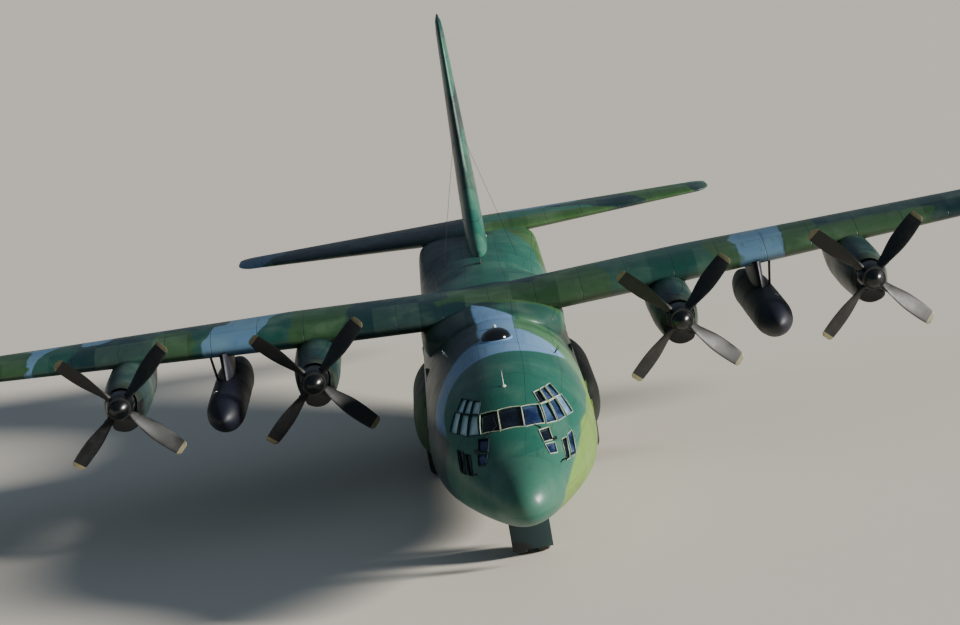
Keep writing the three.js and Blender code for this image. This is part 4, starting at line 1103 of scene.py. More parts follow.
def hull_frame(station: float, width: float, depth: float, half: float, low: float, high: float) -> Piece:
    """Draws a frame on the inside of the hull's wall.

    Args:
        station: Where the frame starts.
        width: Its length along the aircraft.
        depth: How far it stands into the room.
        half: Half the width between which it is kept.
        low: Height from which it is kept.
        high: Height up to which it is kept.

    Returns:
        The frame.
    """
    arch = HULL.loft("arch", station, station + width, width, 64, -WALL + 0.01)
    hollow = HULL.loft("hollow", station - 0.02, station + (width + 0.02), width + 0.04, 64, -WALL - depth)
    keep = block("keep", (-half, station - 0.1, low), (half, station + 0.16, high))
    return combined(combined(arch, [hollow]), [keep], "INTERSECT")


@dataclass(frozen=True)
class Doorway:
    """A rectangular opening in the fuselage's side."""

    start: float
    end: float
    sill: float
    top: float

    def prism(self, name: str, near: float, far: float, gap: float = 0.0, slope: float = 0.0,
              hinge_x: float = 0.0) -> Piece:
        """Draws the solid that the doorway cuts between two x values.

        Args:
            name: The new object's name.
            near: First x.
            far: Last x.
            gap: Clearance on all sides, inwards.
            slope: How far the hinge line runs out for each metre aft; the ends are square to it.
            hinge_x: The hinge line's x at the doorway's start.

        Returns:
            The prism.
        """
        start, end, low, high = self.start + gap, self.end - gap, self.sill + gap, self.top - gap
        corners = ((start, low), (end, low), (end, high), (start, high))
        return loft(name, [
            [at(x, s - slope * (x - hinge_x - (s - self.start) * slope), z) for s, z in corners]
            for x in (near, far)])


@dataclass
class Fuselage:
    """The body's skins with their openings, doors and ramp."""

    radome_end: float = 1.55
    bulkhead: float = 1.75
    forward_end: float = 6.22
    centre_end: float = 18.72
    aft_end: float = 27.95
    crew_doorway: Doorway = Doorway(4.96, 5.74, 1.315, 2.7)
    crew_hinge_x: tuple[float, float] = (1.48, 1.632)
    crew_knuckle: float = 0.036
    troop_doorway: Doorway = Doorway(17.3, 18.22, 1.1, 2.93)
    nose_well: tuple[float, float, float, float] = (0.7, 3.0, 4.9, 1.75)
    porthole_radius: float = 0.16
    ramp_front: float = 18.78
    ramp_end: float = 21.85
    ramp_top: tuple[float, float] = (21.66, 1.96)
    door_end: float = 25.1
    opening_half: tuple[float, float] = (1.53, 0.98)
    step: float = 0.14
    count: int = 112

    def build(self) -> None:
        """Builds all pieces of the fuselage."""
        for make in (self.radome, self.forward, self.crew_door, self.centre, self.troop_doors, self.aft,
                     self.ramp, self.cargo_door, self.tail_cone):
            make()
            LOG.info("fuselage: %s", make.__name__)

    def shell(self, name: str, start: float, end: float, room_start: float | None = None) -> Piece:
        """Draws a hollow length of the hull."""
        skin = HULL.loft(name, start, end, self.step, self.count)
        inner_start = start - 0.05 if room_start is None else room_start
        room = HULL.loft("room", inner_start, end + 0.05, 0.3, 64, -WALL)
        return combined(skin, [room])

    def radome(self) -> None:
        """Builds the smooth nose cap."""
        start = 0.1
        widest, middle = HULL.section(start).ring(self.count), at(0, start, 2.28)
        rings = []
        for i in range(1, 11):
            share = i / 11
            back = Vector((0, m((1 - share * share) * -(start - 0.001)), 0))
            rings.append([middle + (point - middle) * share + back for point in widest])
        rings += [HULL.section(mix(start, self.radome_end, (i / 18) ** 1.6)).ring(self.count)
                  for i in range(19)]
        cap = loft("radome_cap", rings)
        dress(cap, "camouflage_body", replaces="radome")

    def forward(self) -> None:
        """Builds the nose section with its windows, crew doorway and nose wheel well."""
        skin = self.shell("forward_skin", self.radome_end, self.forward_end, self.bulkhead)
        half, start, end, top = self.nose_well
        lining = block("lining", (-half - 0.05, start - 0.05, 1.0), (half + 0.05, end + 0.05, top + 0.05))
        solid = HULL.loft("solid", start - 0.3, end + 0.3, self.step, self.count, -0.01)
        lining = combined(lining, [solid], "INTERSECT")
        skin = combined(skin, [lining], "UNION")
        well = block("well", (-half, start, 0.3), (half, end, top))
        doorway = self.crew_prism("doorway", -CLEARANCE, self.crew_doorway.sill - self.crew_knuckle - 0.026)
        panes = [pane.tool() for pane in WINDOWS]
        skin = combined(skin, [well, doorway, *panes])
        dress(skin, "camouflage_body", replaces="fuselage_forward")

    def crew_prism(self, name: str, gap: float, sill: float) -> Piece:
        """Draws the crew doorway's solid, its ends square to the slanting hinge line."""
        start, end = self.crew_doorway.start, self.crew_doorway.end
        slope = (self.crew_hinge_x[1] - self.crew_hinge_x[0]) / (end - start)
        doorway = Doorway(start, end, sill, self.crew_doorway.top)
        return doorway.prism(name, 1.1, 2.4, gap, slope, self.crew_hinge_x[0])

    def crew_door(self) -> None:
        """Builds the folding crew door with its knuckle, steps and handle."""
        door = self.shell("crew_door_panel", 4.7, 6.0)
        door = combined(door, [self.crew_prism("outline", 0.0, self.crew_doorway.sill)], "INTERSECT")
        (x0, x1), sill = self.crew_hinge_x, self.crew_doorway.sill
        ends = at(x0, self.crew_doorway.start, sill), at(x1, self.crew_doorway.end, sill)
        knuckle = rod("knuckle", *ends, self.crew_knuckle, sides=24)
        door = combined(door, [knuckle], "UNION")
        steps = []
        for i in range(4):
            z = mix(sill, self.crew_doorway.top, (i + 0.8) / 4.6)
            inner = HULL.section(5.35).point(hull_angle(1.9, 5.35, z), -WALL).x / SCALE
            tread = block("tread", (inner - 0.16, 5.12, z - 0.012), (inner + 0.03, 5.58, z + 0.012))
            steps.append(bevelled(tread, 0.006))
        dress(door, "camouflage_body", "crew_door", "crew_door")
        dress(joined("crew_door_steps", steps), "hold_lining", "crew_door")
        handle = [rod("bar", *(on_hull(1.9, s, 2.1, proud) for s, proud in ends), 0.012) for ends in (
            ((5.5, -0.01), (5.5, 0.035)), ((5.62, -0.01), (5.62, 0.035)), ((5.49, 0.03), (5.63, 0.03)))]
        dress(joined("crew_door_handle", handle), "bare_metal", "crew_door")

    def centre(self) -> None:
        """Builds the hold section with its wheel wells and troop doorways."""
        skin = self.shell("centre_skin", self.forward_end, self.centre_end)
        tools = []
        for side in SIDES.values():
            lining = block("lining", (side * 1.6, WELL_START - 0.12, 1.0),
                           (side * 2.08, WELL_END + 0.12, WELL_TOP + 0.12))
            solid = HULL.loft("solid", 12.0, 16.0, 0.5, self.count, -0.01)
            skin = combined(skin, [combined(lining, [solid], "INTERSECT")], "UNION")
            tools.append(block("well", (side * 1.72, WELL_START, 0.3), (side * 2.7, WELL_END, WELL_TOP)))
            tools.append(self.troop_doorway.prism("doorway", side * 1.4, side * 2.4))
        tools += [rod("hole", at(side * 1.8, s, z), at(side * 2.4, s, z), self.porthole_radius, sides=32)
                  for side, (s, z) in product(SIDES.values(), PORTHOLES)]
        dress(combined(skin, tools), "camouflage_body", replaces="fuselage_centre")
        for name, side in SIDES.items():
            for number, (s, z) in enumerate(PORTHOLES, 1):
                self.porthole(f"porthole_{name}_{number}", side, s, z)

    def porthole(self, name: str, side: int, station: float, z: float) -> None:
        """Builds a round window in a raised ring."""
        centre = HULL.section(station).point(hull_angle(side * 2.0, station, z), 0)
        outer = Vector((side, 0, 0))
        rim = ((-0.06, 0.15), (-0.06, 0.2), (0.008, 0.2), (0.016, 0.185), (0.012, 0.15))
        dress(closed_ring(f"{name}_ring", rim, centre, outer, 48), "camouflage_body")
        disc = ((-0.05, 0.01), (-0.05, 0.155), (-0.03, 0.155), (-0.02, 0.01))
        dress(turned(f"{name}_pane", disc, centre, outer), "glass_dark")

    def troop_doors(self) -> None:
        """Builds the two sliding doors at the back of the hold, each with a round window."""
        for name, side in SIDES.items():
            outline = self.troop_doorway.prism("outline", side * 1.4, side * 2.4, gap=0.006)
            door = combined(self.shell(f"troop_door_{name}", 17.0, 18.6), [outline], "INTERSECT")
            dress(door, "camouflage_body", replaces=f"paratroop_door_{name}")
            self.porthole(f"troop_door_window_{name}", side, 17.76, 2.5)

    def opening(self, name: str, gap: float, start: float, end: float) -> Piece:
        """Draws the rear opening, which narrows behind the ramp."""
        wide, narrow = self.opening_half
        outline = [(wide, start), (wide, self.ramp_end), (narrow, self.door_end)]
        outline = [(x - gap, min(s, end)) for x, s in outline]
        outline += [(-x, s) for x, s in reversed(outline)]
        return prism(name, [at(x, s, 0.2) for x, s in outline], Vector((0, 0, m(2.9))))

    def aft(self) -> None:
        """Builds the tail section round the rear opening, with the lugs of the ramp and door."""
        skin = self.shell("aft_skin", self.centre_end, self.aft_end)
        skin = combined(skin, [self.opening("opening", 0.0, self.ramp_front, self.door_end)])
        dress(skin, "camouflage_body", replaces="fuselage_aft")
        lugs = []
        for side in SIDES.values():
            lugs.append(rod("pin", at(side * 0.64, *RAMP_PIN), at(side * 0.96, *RAMP_PIN), 0.03))
            lug = block("lug", (side * 0.74, 18.68, 0.68), (side * 0.86, 18.93, 0.88))
            lugs.append(rod("pin", at(side * 0.78, *DOOR_PIN), at(side * 1.08, *DOOR_PIN), 0.022))
            bracket = block("bracket", (side * 1.03, 24.96, 2.8), (side * 1.13, 25.12, 3.04))
            lugs += [bevelled(lug, 0.01), bevelled(bracket, 0.01)]
        dress(joined("ramp_and_door_lugs", lugs), "bare_metal")

    def ramp(self) -> None:
        """Builds the cargo ramp with its floor boards and hinge slots."""
        start, end = self.ramp_front + CLEARANCE, self.ramp_end - CLEARANCE / 2
        (back, top), front = self.ramp_top, HOLD_FLOOR
        outline = ((start, 0.8), (18.91, 0.55), (19.37, 0.2), (end, 0.2), (end, 1.45), (back, top),
                   (start, front))
        body = side_prism("ramp_body", 2, outline)
        skin = HULL.loft("skin", 18.5, 22.2, self.step, self.count)
        body = combined(body, [self.opening("outline", CLEARANCE, start - 0.3, end + 0.2), skin], "INTERSECT")
        slots = []
        for side in SIDES.values():
            slots.append(block("slot", (side * 0.7, 18.6, 0.4), (side * 0.9, 19.02, 0.98)))
            slots.append(rod("bore", at(side * 0.62, *RAMP_PIN), at(side * 0.98, *RAMP_PIN), 0.036))
        body = combined(body, slots)
        dress(body, "camouflage_body", "cargo_ramp", "cargo_ramp")
        boards = []
        rise = (top - front) / (back - start)
        for i in range(11):
            s = mix(start + 0.35, 21.45, i / 10)
            z = front + (s - start) * rise
            outline = ((s, z - 0.01), (s + 0.045, z + 0.045 * rise - 0.01), (s + 0.04, z + 0.012),
                       (s + 0.005, z + 0.01))
            boards.append(side_prism("board", 1.3, outline))
        dress(joined("ramp_treads", boards), "bare_metal", "cargo_ramp", degrees=0)

    def cargo_door(self) -> None:
        """Builds the upper rear door with ribs on its inner side."""
        door = self.shell("cargo_door_panel", 21.4, 25.4)
        keep = self.opening("outline", CLEARANCE, self.ramp_end + CLEARANCE / 2, self.door_end)
        door = combined(door, [keep], "INTERSECT")
        lugs = []
        for side in SIDES.values():
            lug = block("lug", (side * 0.8, 24.95, 2.7), (side * 0.9, self.door_end - CLEARANCE, 3.04))
            bore = rod("bore", at(side * 0.7, *DOOR_PIN), at(side * 1.0, *DOOR_PIN), 0.028)
            lugs.append(combined(lug, [bore]))
        dress(door, "camouflage_body", "cargo_door", "cargo_door")
        dress(joined("cargo_door_lugs", lugs), "bare_metal", "cargo_door")
        ribs = [hull_frame(s, 0.06, 0.06, mix(1.38, 0.95, (s - self.ramp_end) / 3.2), 1.0, 2.9)
                for s in (22.4, 23.0, 23.6, 24.2)]
        dress(joined("cargo_door_ribs", ribs), "well_primer", "cargo_door")

    def tail_cone(self) -> None:
        """Builds the tail cone behind the tailplane, cut away under the rudder."""
        cone = HULL.loft("tail_cone_skin", self.aft_end, LENGTH, 0.1, self.count)
        sweep = block("sweep", (-1.2, 27.2, 4.82), (1.2, LENGTH + 0.2, 6))
        dress(combined(cone, [sweep]), "camouflage_body", replaces="tail_cone")


PORTHOLES = ((7.15, 2.62), (9.3, 2.62), (11.55, 3.2), (16.55, 2.95))


# Flight deck windows


@dataclass(frozen=True)
class Pane:
    """One window of the flight deck: its corners from the upper inner one round the pane."""

    name: str
    outline: tuple[Point, Point, Point, Point]
    glass: str = "glass_dark"
    strip: str = "window_frame"
    strip_width: float = 0.01
    grow: float = 0.02
    side_steps: int = 6

    def corners(self) -> list[Vector]:
        """Gives the corners in the model, moved out so that neighbouring frames meet."""
        raw = [at(*corner) for corner in self.outline]
        return [corner + ((corner - before).normalized() + (corner - after).normalized()) * m(self.grow)
                for before, corner, after in zip((raw[-1], *raw), raw, (*raw[1:], raw[0]))]

    def normal(self) -> Vector:
        """Gives the direction that the pane looks in."""
        a, b, c, d = self.corners()
        normal = (c - a).cross(d - b).normalized()
        outside = (a + b + c + d) / 4 - at(0, 5, 2.4)
        return normal if normal.dot(outside) > 0 else -normal

    def tool(self) -> Piece:
        """Draws the block that the window's outline cuts."""
        push = self.normal() * m(0.2)
        return prism("pane_cut", [corner - push for corner in self.corners()], push * 2)

    def build(self) -> None:
        """Builds the glass and its raised frame."""
        normal, corners = self.normal(), self.corners()
        centre = sum(corners, Vector()) / 4
        grown = [corner + (corner - centre).normalized() * m(0.02) for corner in corners]
        glass = prism(f"{self.name}_glass", [point - normal * m(0.045) for point in grown], normal * m(0.025))
        glass = bevelled(glass, 0.006)
        dress(glass, self.glass)
        self._frame(normal, corners, centre)

    def _frame(self, normal: Vector, corners: list[Vector], centre: Vector) -> None:
        """Builds the frame strip, which follows the hull round the pane."""
        outer, inner = [], []
        for start, end in zip(corners, (*corners[1:], corners[0])):
            for i in range(self.side_steps):
                point = start.lerp(end, i / self.side_steps)
                point = on_hull(point.x / SCALE, point.y / SCALE + LENGTH / 2, point.z / SCALE, 0.006)
                away = point - centre
                away = (away - normal * away.dot(normal)).normalized()
                outer.append(point + away * m(self.strip_width))
                inner.append(point - away * m(0.004))
        ring = closed_line(f"{self.name}_frame", outer)
        with editing(ring) as mesh:
            bpy.ops.mesh.select_all(action="SELECT")
            bpy.ops.mesh.extrude_edges_move()
            for vert in [vert for vert in mesh.verts if vert.select]:
                vert.co = inner[min(range(len(outer)), key=lambda i: (outer[i] - vert.co).length)]
            bmesh.update_edit_mesh(ring.data)
        outward(ring)
        modified(ring, "SOLIDIFY", thickness=m(0.03), offset=0.0)
        outward(ring)
        dress(bevelled(ring, 0.004), self.strip)


def side_panes(prefix: str, *rows: tuple[tuple[Point, Point, Point, Point], str, str]) -> list[Pane]:
    """Lists the panes of both sides.

    Args:
        prefix: Start of the panes' names.
        rows: The corners of each port pane, its glass and the glass of its starboard twin.

    Returns:
        All panes.
    """
    panes = []
    for number, (corners, port, starboard) in enumerate(rows, 1):
        # Starboard frames, except the windscreen's first, take the dark copy of the frame paint: painted
        # shade.
        strip = "window_frame" if prefix == "windscreen" and number == 1 else "window_frame_painted_shade"
        twin = tuple((-x, s, z) for x, s, z in corners)
        panes.append(Pane(f"{prefix}_left_{number}", corners, port))
        panes.append(Pane(f"{prefix}_right_{number}", twin, starboard, strip))
    return panes


# The panes' glasses differ as painted reflections: blue, sky and pale glass stand for panes that reflect the
# sky.
DARK, BLUE, PAINTED_SKY, PALE = "glass_dark", "glass_blue_painted_reflection", "glass_painted_sky_reflection", "glass_painted_pale_reflection"
WINDOWS = [
    Pane("windscreen_centre",
         ((-0.26, 3.05, 3.95), (0.26, 3.05, 3.95), (0.26, 2.55, 3.61), (-0.26, 2.55, 3.61))),
    *side_panes(
        "windscreen",
        (((0.31, 3.05, 3.94), (0.69, 3.2, 3.88), (0.75, 2.72, 3.55), (0.32, 2.55, 3.6)), BLUE, DARK),
        (((0.77, 3.25, 3.84), (0.92, 3.42, 3.82), (1.06, 2.94, 3.5), (0.83, 2.75, 3.53)), BLUE, PALE),
        (((0.98, 3.48, 3.82), (1.13, 3.73, 3.82), (1.28, 3.3, 3.48), (1.12, 3.0, 3.49)), BLUE, PALE),
        (((1.18, 3.82, 3.83), (1.31, 4.12, 3.81), (1.49, 3.8, 3.44), (1.33, 3.44, 3.46)), PAINTED_SKY, PALE)),
    *side_panes(
        "eyebrow",
        (((0.66, 3.64, 4.09), (0.78, 3.8, 4.08), (0.9, 3.46, 3.89), (0.75, 3.29, 3.89)), DARK, PALE),
        (((0.83, 3.87, 4.09), (0.93, 4.05, 4.08), (1.08, 3.72, 3.88), (0.95, 3.52, 3.88)), BLUE, PALE),
        (((0.98, 4.12, 4.08), (1.08, 4.36, 4.06), (1.25, 4.05, 3.85), (1.12, 3.8, 3.87)), BLUE, PALE)),
    *side_panes(
        "pedal_window",
        (((0.62, 2.46, 3.44), (0.84, 2.62, 3.43), (0.88, 2.33, 3.22), (0.68, 2.16, 3.24)), DARK, BLUE),
        (((0.7, 2.06, 3.17), (0.92, 2.24, 3.15), (0.93, 2.0, 2.98), (0.76, 1.84, 3.01)), BLUE, BLUE)),
    *side_panes(
        "lower_window",
        (((1.11, 2.5, 3.11), (1.21, 2.66, 3.11), (1.2, 2.19, 2.74), (1.11, 2.03, 2.74)), DARK, DARK),
        (((1.27, 2.78, 3.14), (1.38, 3.02, 3.15), (1.38, 2.59, 2.73), (1.27, 2.34, 2.73)), BLUE, DARK)),
]


# Wing


def half_depth(t: float) -> float:
    """Gives a fifth of an aerofoil's half thickness, at a share of its chord, over its greatest thickness."""
    return 0.2969 * math.sqrt(t) - 0.126 * t - 0.3516 * t**2 + 0.2843 * t**3 - 0.1015 * t**4


def aerofoil(
    chord: float, thickness: float, camber: float = 0.02, points: int = 26
) -> list[tuple[float, float]]:
    """Gives an aerofoil as distances along the chord and heights, over the top and back.

    Args:
        chord: Length of the section.
        thickness: Greatest thickness as a share of the chord.
        camber: Greatest camber as a share of the chord.
        points: Steps on each side.

    Returns:
        The outline from the trailing edge over the nose.
    """
    upper, lower = [], []
    for i in range(points + 1):
        t = (1 - math.cos(math.pi * i / points)) / 2
        half = 5 * thickness * half_depth(t)
        mean = camber * ((0.8 * t - t * t) / 0.16 if t < 0.4 else (0.2 + 0.8 * t - t * t) / 0.36)
        upper.append((t * chord, chord * (mean + half)))
        lower.append((t * chord, chord * (mean - half)))
    return [*reversed(upper), *lower[1:]]


@dataclass(frozen=True)
class WingShape:
    """The wing's plan and section at any distance from the centreline."""

    x: float

    BREAK = 5.59
    ROOT_CHORD = 4.88
    TIP_CHORD = 2.48
    QUARTER = 12.2 + 4.88 / 4

    @property
    def outboard(self) -> float:
        """Share of the way from the break to the tip."""
        return max(0.0, (abs(self.x) - self.BREAK) / (SPAN / 2 - self.BREAK))

    @property
    def chord(self) -> float:
        """The chord."""
        return mix(self.ROOT_CHORD, self.TIP_CHORD, self.outboard)

    @property
    def leading(self) -> float:
        """Station of the leading edge."""
        return self.QUARTER - self.chord / 4

    @property
    def trailing(self) -> float:
        """Station of the trailing edge."""
        return self.QUARTER + self.chord * 3 / 4

    @property
    def height(self) -> float:
        """Height of the section's quarter chord."""
        return WING_HEIGHT + abs(self.x) * math.tan(DIHEDRAL)

    @staticmethod
    def chord_share(x: Value, station: Value) -> Value:
        """Gives a point's share of the chord in shader arithmetic."""
        outboard = ((x.size() - WingShape.BREAK) / (SPAN / 2 - WingShape.BREAK)).most(0.0)
        chord = outboard * (WingShape.TIP_CHORD - WingShape.ROOT_CHORD) + WingShape.ROOT_CHORD
        return (station - WingShape.QUARTER) / chord + 0.25

    def section(self, chord: float, thickness: float, incidence: float) -> list[tuple[float, float]]:
        """Gives a section as station and rise over the wing's own line."""
        tilt = math.radians(incidence)
        return [(self.QUARTER + (along - chord / 4) * math.cos(tilt) + up * math.sin(tilt),
                 (chord / 4 - along) * math.sin(tilt) + up * math.cos(tilt))
                for along, up in aerofoil(chord, thickness)]

    def ring(self, kept: float = 1.0) -> Ring:
        """Gives the wing's outline here, shrunk towards its middle to a kept share."""
        root, tip = self.section(self.ROOT_CHORD, 0.18, 3), self.section(self.TIP_CHORD, 0.12, 0)
        centre = at(self.x, self.leading + 0.45 * self.chord, self.height)
        share = self.outboard
        points = [at(self.x, mix(a[0], b[0], share), self.height + mix(a[1], b[1], share))
                  for a, b in zip(root, tip)]
        return [centre + (point - centre) * kept for point in points]

    def core(self, station: float) -> tuple[float, float]:
        """Gives the middle height and half the thickness of the section at a station."""
        ring = [(point.y / SCALE + LENGTH / 2, point.z / SCALE) for point in self.ring()]
        crossings = [mix(a[1], b[1], (station - a[0]) / (b[0] - a[0])) for a, b in pairwise(ring)
                     if (a[0] - station) * (b[0] - station) <= 0 and a[0] != b[0]]
        return (max(crossings) + min(crossings)) / 2, (max(crossings) - min(crossings)) / 2


def plan_prism(name: str, outline: Outline, low: float = 3.0, high: float = 7.0) -> Piece:
    """Draws a prism from an outline of x and station, between two heights."""
    return prism(name, [at(x, s, low) for x, s in outline], Vector((0, 0, m(high - low))))


@dataclass
class Wing:
    """The wing's panels, flaps and ailerons, with lights, wicks and dump pipes."""

    inner_flap: tuple[float, ...] = (2.42, 5.52, 1.25, 1.25)
    outer_flap: tuple[float, ...] = (5.66, 11.9, 1.25, 1.05)
    aileron: tuple[float, float] = (12.02, 19.5)
    aileron_chord: tuple[float, float] = (1.02, 0.74)
    gap: float = 0.012
    tip_length: float = 0.5
    landing_light_x: float = 14.6
    dump_pipe_x: float = 18.6

    def build(self) -> None:
        """Builds the wing from the centre outwards."""
        self.centre()
        for name, side in SIDES.items():
            self.outer(name, side)
            self.fittings(name, side)
            LOG.info("wing: %s", name)

    def panel(self, name: str, start: float, end: float, side: int = 1, rounded: bool = False) -> Piece:
        """Draws a length of the wing.

        Args:
            name: The new object's name.
            start: First distance from the centreline.
            end: Last distance.
            side: 1 for left, -1 for right.
            rounded: Whether the last length is rounded off as a tip.

        Returns:
            The solid.
        """
        steps = max(2, round(abs(end - start) / 0.8))
        straight_end = end - self.tip_length if rounded else end
        stops = [mix(start, straight_end, i / steps) for i in range(steps + 1)]
        if start < 0 < end:
            stops = sorted({*stops, 0.0})
        rings = [WingShape(side * x).ring() for x in stops]
        if rounded:
            for turn in (math.radians(18 * i) for i in range(1, 5)):
                shape = WingShape(side * (end - self.tip_length + self.tip_length * math.sin(turn)))
                rings.append(shape.ring(0.6 + 0.4 * math.cos(turn) ** 0.7))
            rings.append(WingShape(side * end).ring(0.6))
        return loft(name, rings)

    def flap_outline(self, side: int, row: tuple[float, ...], gap: float = 0.0) -> list[tuple[float, float]]:
        """Gives the plan of a flap, or of its bay where the gap is over zero."""
        inner, outer, inner_chord, outer_chord = row
        return [(side * (inner - gap), WingShape(inner).trailing - inner_chord - gap),
                (side * (outer + gap), WingShape(outer).trailing - outer_chord - gap),
                (side * (outer + gap), BEHIND_WING), (side * (inner - gap), BEHIND_WING)]

    def centre(self) -> None:
        """Builds the centre panel and the inner flaps."""
        centre = self.panel("wing_centre_skin", -WingShape.BREAK, WingShape.BREAK)
        bays = [plan_prism("bay", self.flap_outline(side, self.inner_flap, self.gap))
                for side in SIDES.values()]
        for name, side in SIDES.items():
            self.flap(centre, f"flap_inner_{name}", side, self.inner_flap)
        dress(combined(centre, bays), "camouflage_wing", replaces="wing_centre")

    def flap(self, panel: Piece, node: str, side: int, row: tuple[float, ...]) -> None:
        """Cuts one flap out of a copy of its panel."""
        outline = plan_prism("outline", self.flap_outline(side, row))
        flap = combined(copied(panel, f"{node}_skin"), [outline], "INTERSECT")
        dress(flap, "camouflage_wing", replaces=node)

    def hinge(self, side: int) -> list[tuple[Vector, float, float]]:
        """Gives the aileron's hinge line as points, stations and the radius of its round nose."""
        ends = []
        for x, chord in zip(self.aileron, self.aileron_chord):
            station = WingShape(x).trailing - chord
            middle, half = WingShape(x).core(station)
            ends.append((at(side * x, station, middle), station, half))
        return ends

    def outer(self, name: str, side: int) -> None:
        """Builds an outer panel, its flap and its aileron."""
        whole = self.panel(f"wing_outer_{name}_skin", WingShape.BREAK, SPAN / 2, side, rounded=True)
        self.flap(whole, f"flap_outer_{name}", side, self.outer_flap)
        (a, s0, r0), (b, s1, r1) = self.hinge(side)
        inner, end = self.aileron

        def behind(gap: float) -> list[tuple[float, float]]:
            """Gives the plan behind the hinge line, for the aileron or its bay."""
            near, far = side * (inner - gap), side * (end + gap)
            return [(near, s0), (far, s1), (far, BEHIND_WING), (near, BEHIND_WING)]

        nose = rod("nose", a, b, r0, r1, 40)
        surface = combined(plan_prism("surface", behind(0.0)), [nose], "UNION")
        span = block("span", (side * inner, 11, 3), (side * end, 20, 7))
        aileron = combined(copied(whole, f"aileron_{name}_skin"), [surface, span], "INTERSECT")
        stretch = (b - a).normalized() * m(0.06)
        cove = rod("cove", a - stretch, b + stretch, r0 + CLEARANCE, r1 + CLEARANCE, 40)
        room = block("room", (side * (inner - CLEARANCE), 11, 3), (side * (end + CLEARANCE), 20, 7))
        cove = combined(cove, [room], "INTERSECT")
        flap_bay = plan_prism("bay", self.flap_outline(side, self.outer_flap, self.gap))
        whole = combined(whole, [flap_bay, plan_prism("bay", behind(CLEARANCE)), cove])
        dress(whole, "camouflage_wing", replaces=f"wing_outer_{name}")
        dress(aileron, "camouflage_wing", f"aileron_{name}", f"aileron_{name}")
        self.wicks(name, side)

    def wicks(self, name: str, side: int) -> None:
        """Builds the static wicks on the aileron's trailing edge."""
        inner, end = self.aileron
        wicks = []
        for i in range(5):
            x = mix(inner + 0.4, end - 0.3, i / 4)
            edge = WingShape(x).trailing
            tip = WingShape(x).core(edge - 0.02)[0]
            ends = at(side * x, edge - 0.03, tip), at(side * x, edge + 0.02, tip)
            wicks.append(rod("wick", *ends, 0.006, 0.003, 6))
        wicks = joined(f"aileron_wicks_{name}", wicks)
        dress(wicks, "brake_hose", f"aileron_{name}", degrees=0)

    def fittings(self, name: str, side: int) -> None:
        """Builds the tip light, landing light and fuel dump pipe of one wing."""
        shape = WingShape(SPAN / 2 - 0.42)
        fitting(f"tip_light_{name}", ((-0.05, 0.04), (0.0, 0.045), (0.03, 0.036), (0.05, 0.012)),
                (side * shape.x, shape.leading + 0.02, shape.height + 0.01), AHEAD,
                "red_light_glass" if side > 0 else "green_light_glass", 24)
        shape = WingShape(self.landing_light_x)
        station = shape.leading + 0.5
        middle, half = shape.core(station)
        low = (side * shape.x, station, middle - half)
        fitting(f"landing_light_bezel_{name}", ((-0.02, 0.11), (0.01, 0.11), (0.02, 0.1), (0.012, 0.085)),
                low, DOWN, "bare_metal")
        fitting(f"landing_light_{name}", ((-0.01, 0.09), (0.008, 0.088), (0.016, 0.05), (0.018, 0.01)),
                low, DOWN, "clear_light_glass")
        shape = WingShape(self.dump_pipe_x)
        station = shape.trailing - 0.9
        start = at(side * shape.x, station, shape.core(station)[0] - 0.1)
        dump = rod(f"fuel_dump_pipe_{name}", start, start + Vector((0, m(0.5), -m(0.06))), 0.035, 0.03)
        dress(dump, "camouflage_wing")


# Wing root fairing, engines, propellers and tanks


@dataclass
class RootFairing:
    """The arch that closes the gap between the wing and the fuselage's shoulders."""

    body: Body = Body(tuple(Oval(*row, flatness=3) for row in (
        (10.9, 0.9, 4.61, 4.0, 4.3),
        (11.5, 1.55, 4.68, 3.5, 4.05),
        (12.2, 1.94, 4.76, 3.1, 4.0),
        (13.5, 2.03, 4.8, 2.95, 3.95),
        (16.4, 2.03, 4.76, 2.95, 3.95),
        (17.6, 1.8, 4.68, 3.3, 4.0),
        (18.6, 1.0, 4.61, 4.0, 4.3),
    )))

    def build(self) -> None:
        """Builds the fairing over the hull."""
        start, end = self.body.rows[0].station, self.body.rows[-1].station
        arch = self.body.loft("wing_root_arch", start, end, 0.12, 96)
        hull = HULL.loft("hull", 10.7, 18.7, 0.4, 112, -0.004)
        dress(combined(arch, [hull]), "camouflage_body", replaces="wing_fairing", degrees=50)


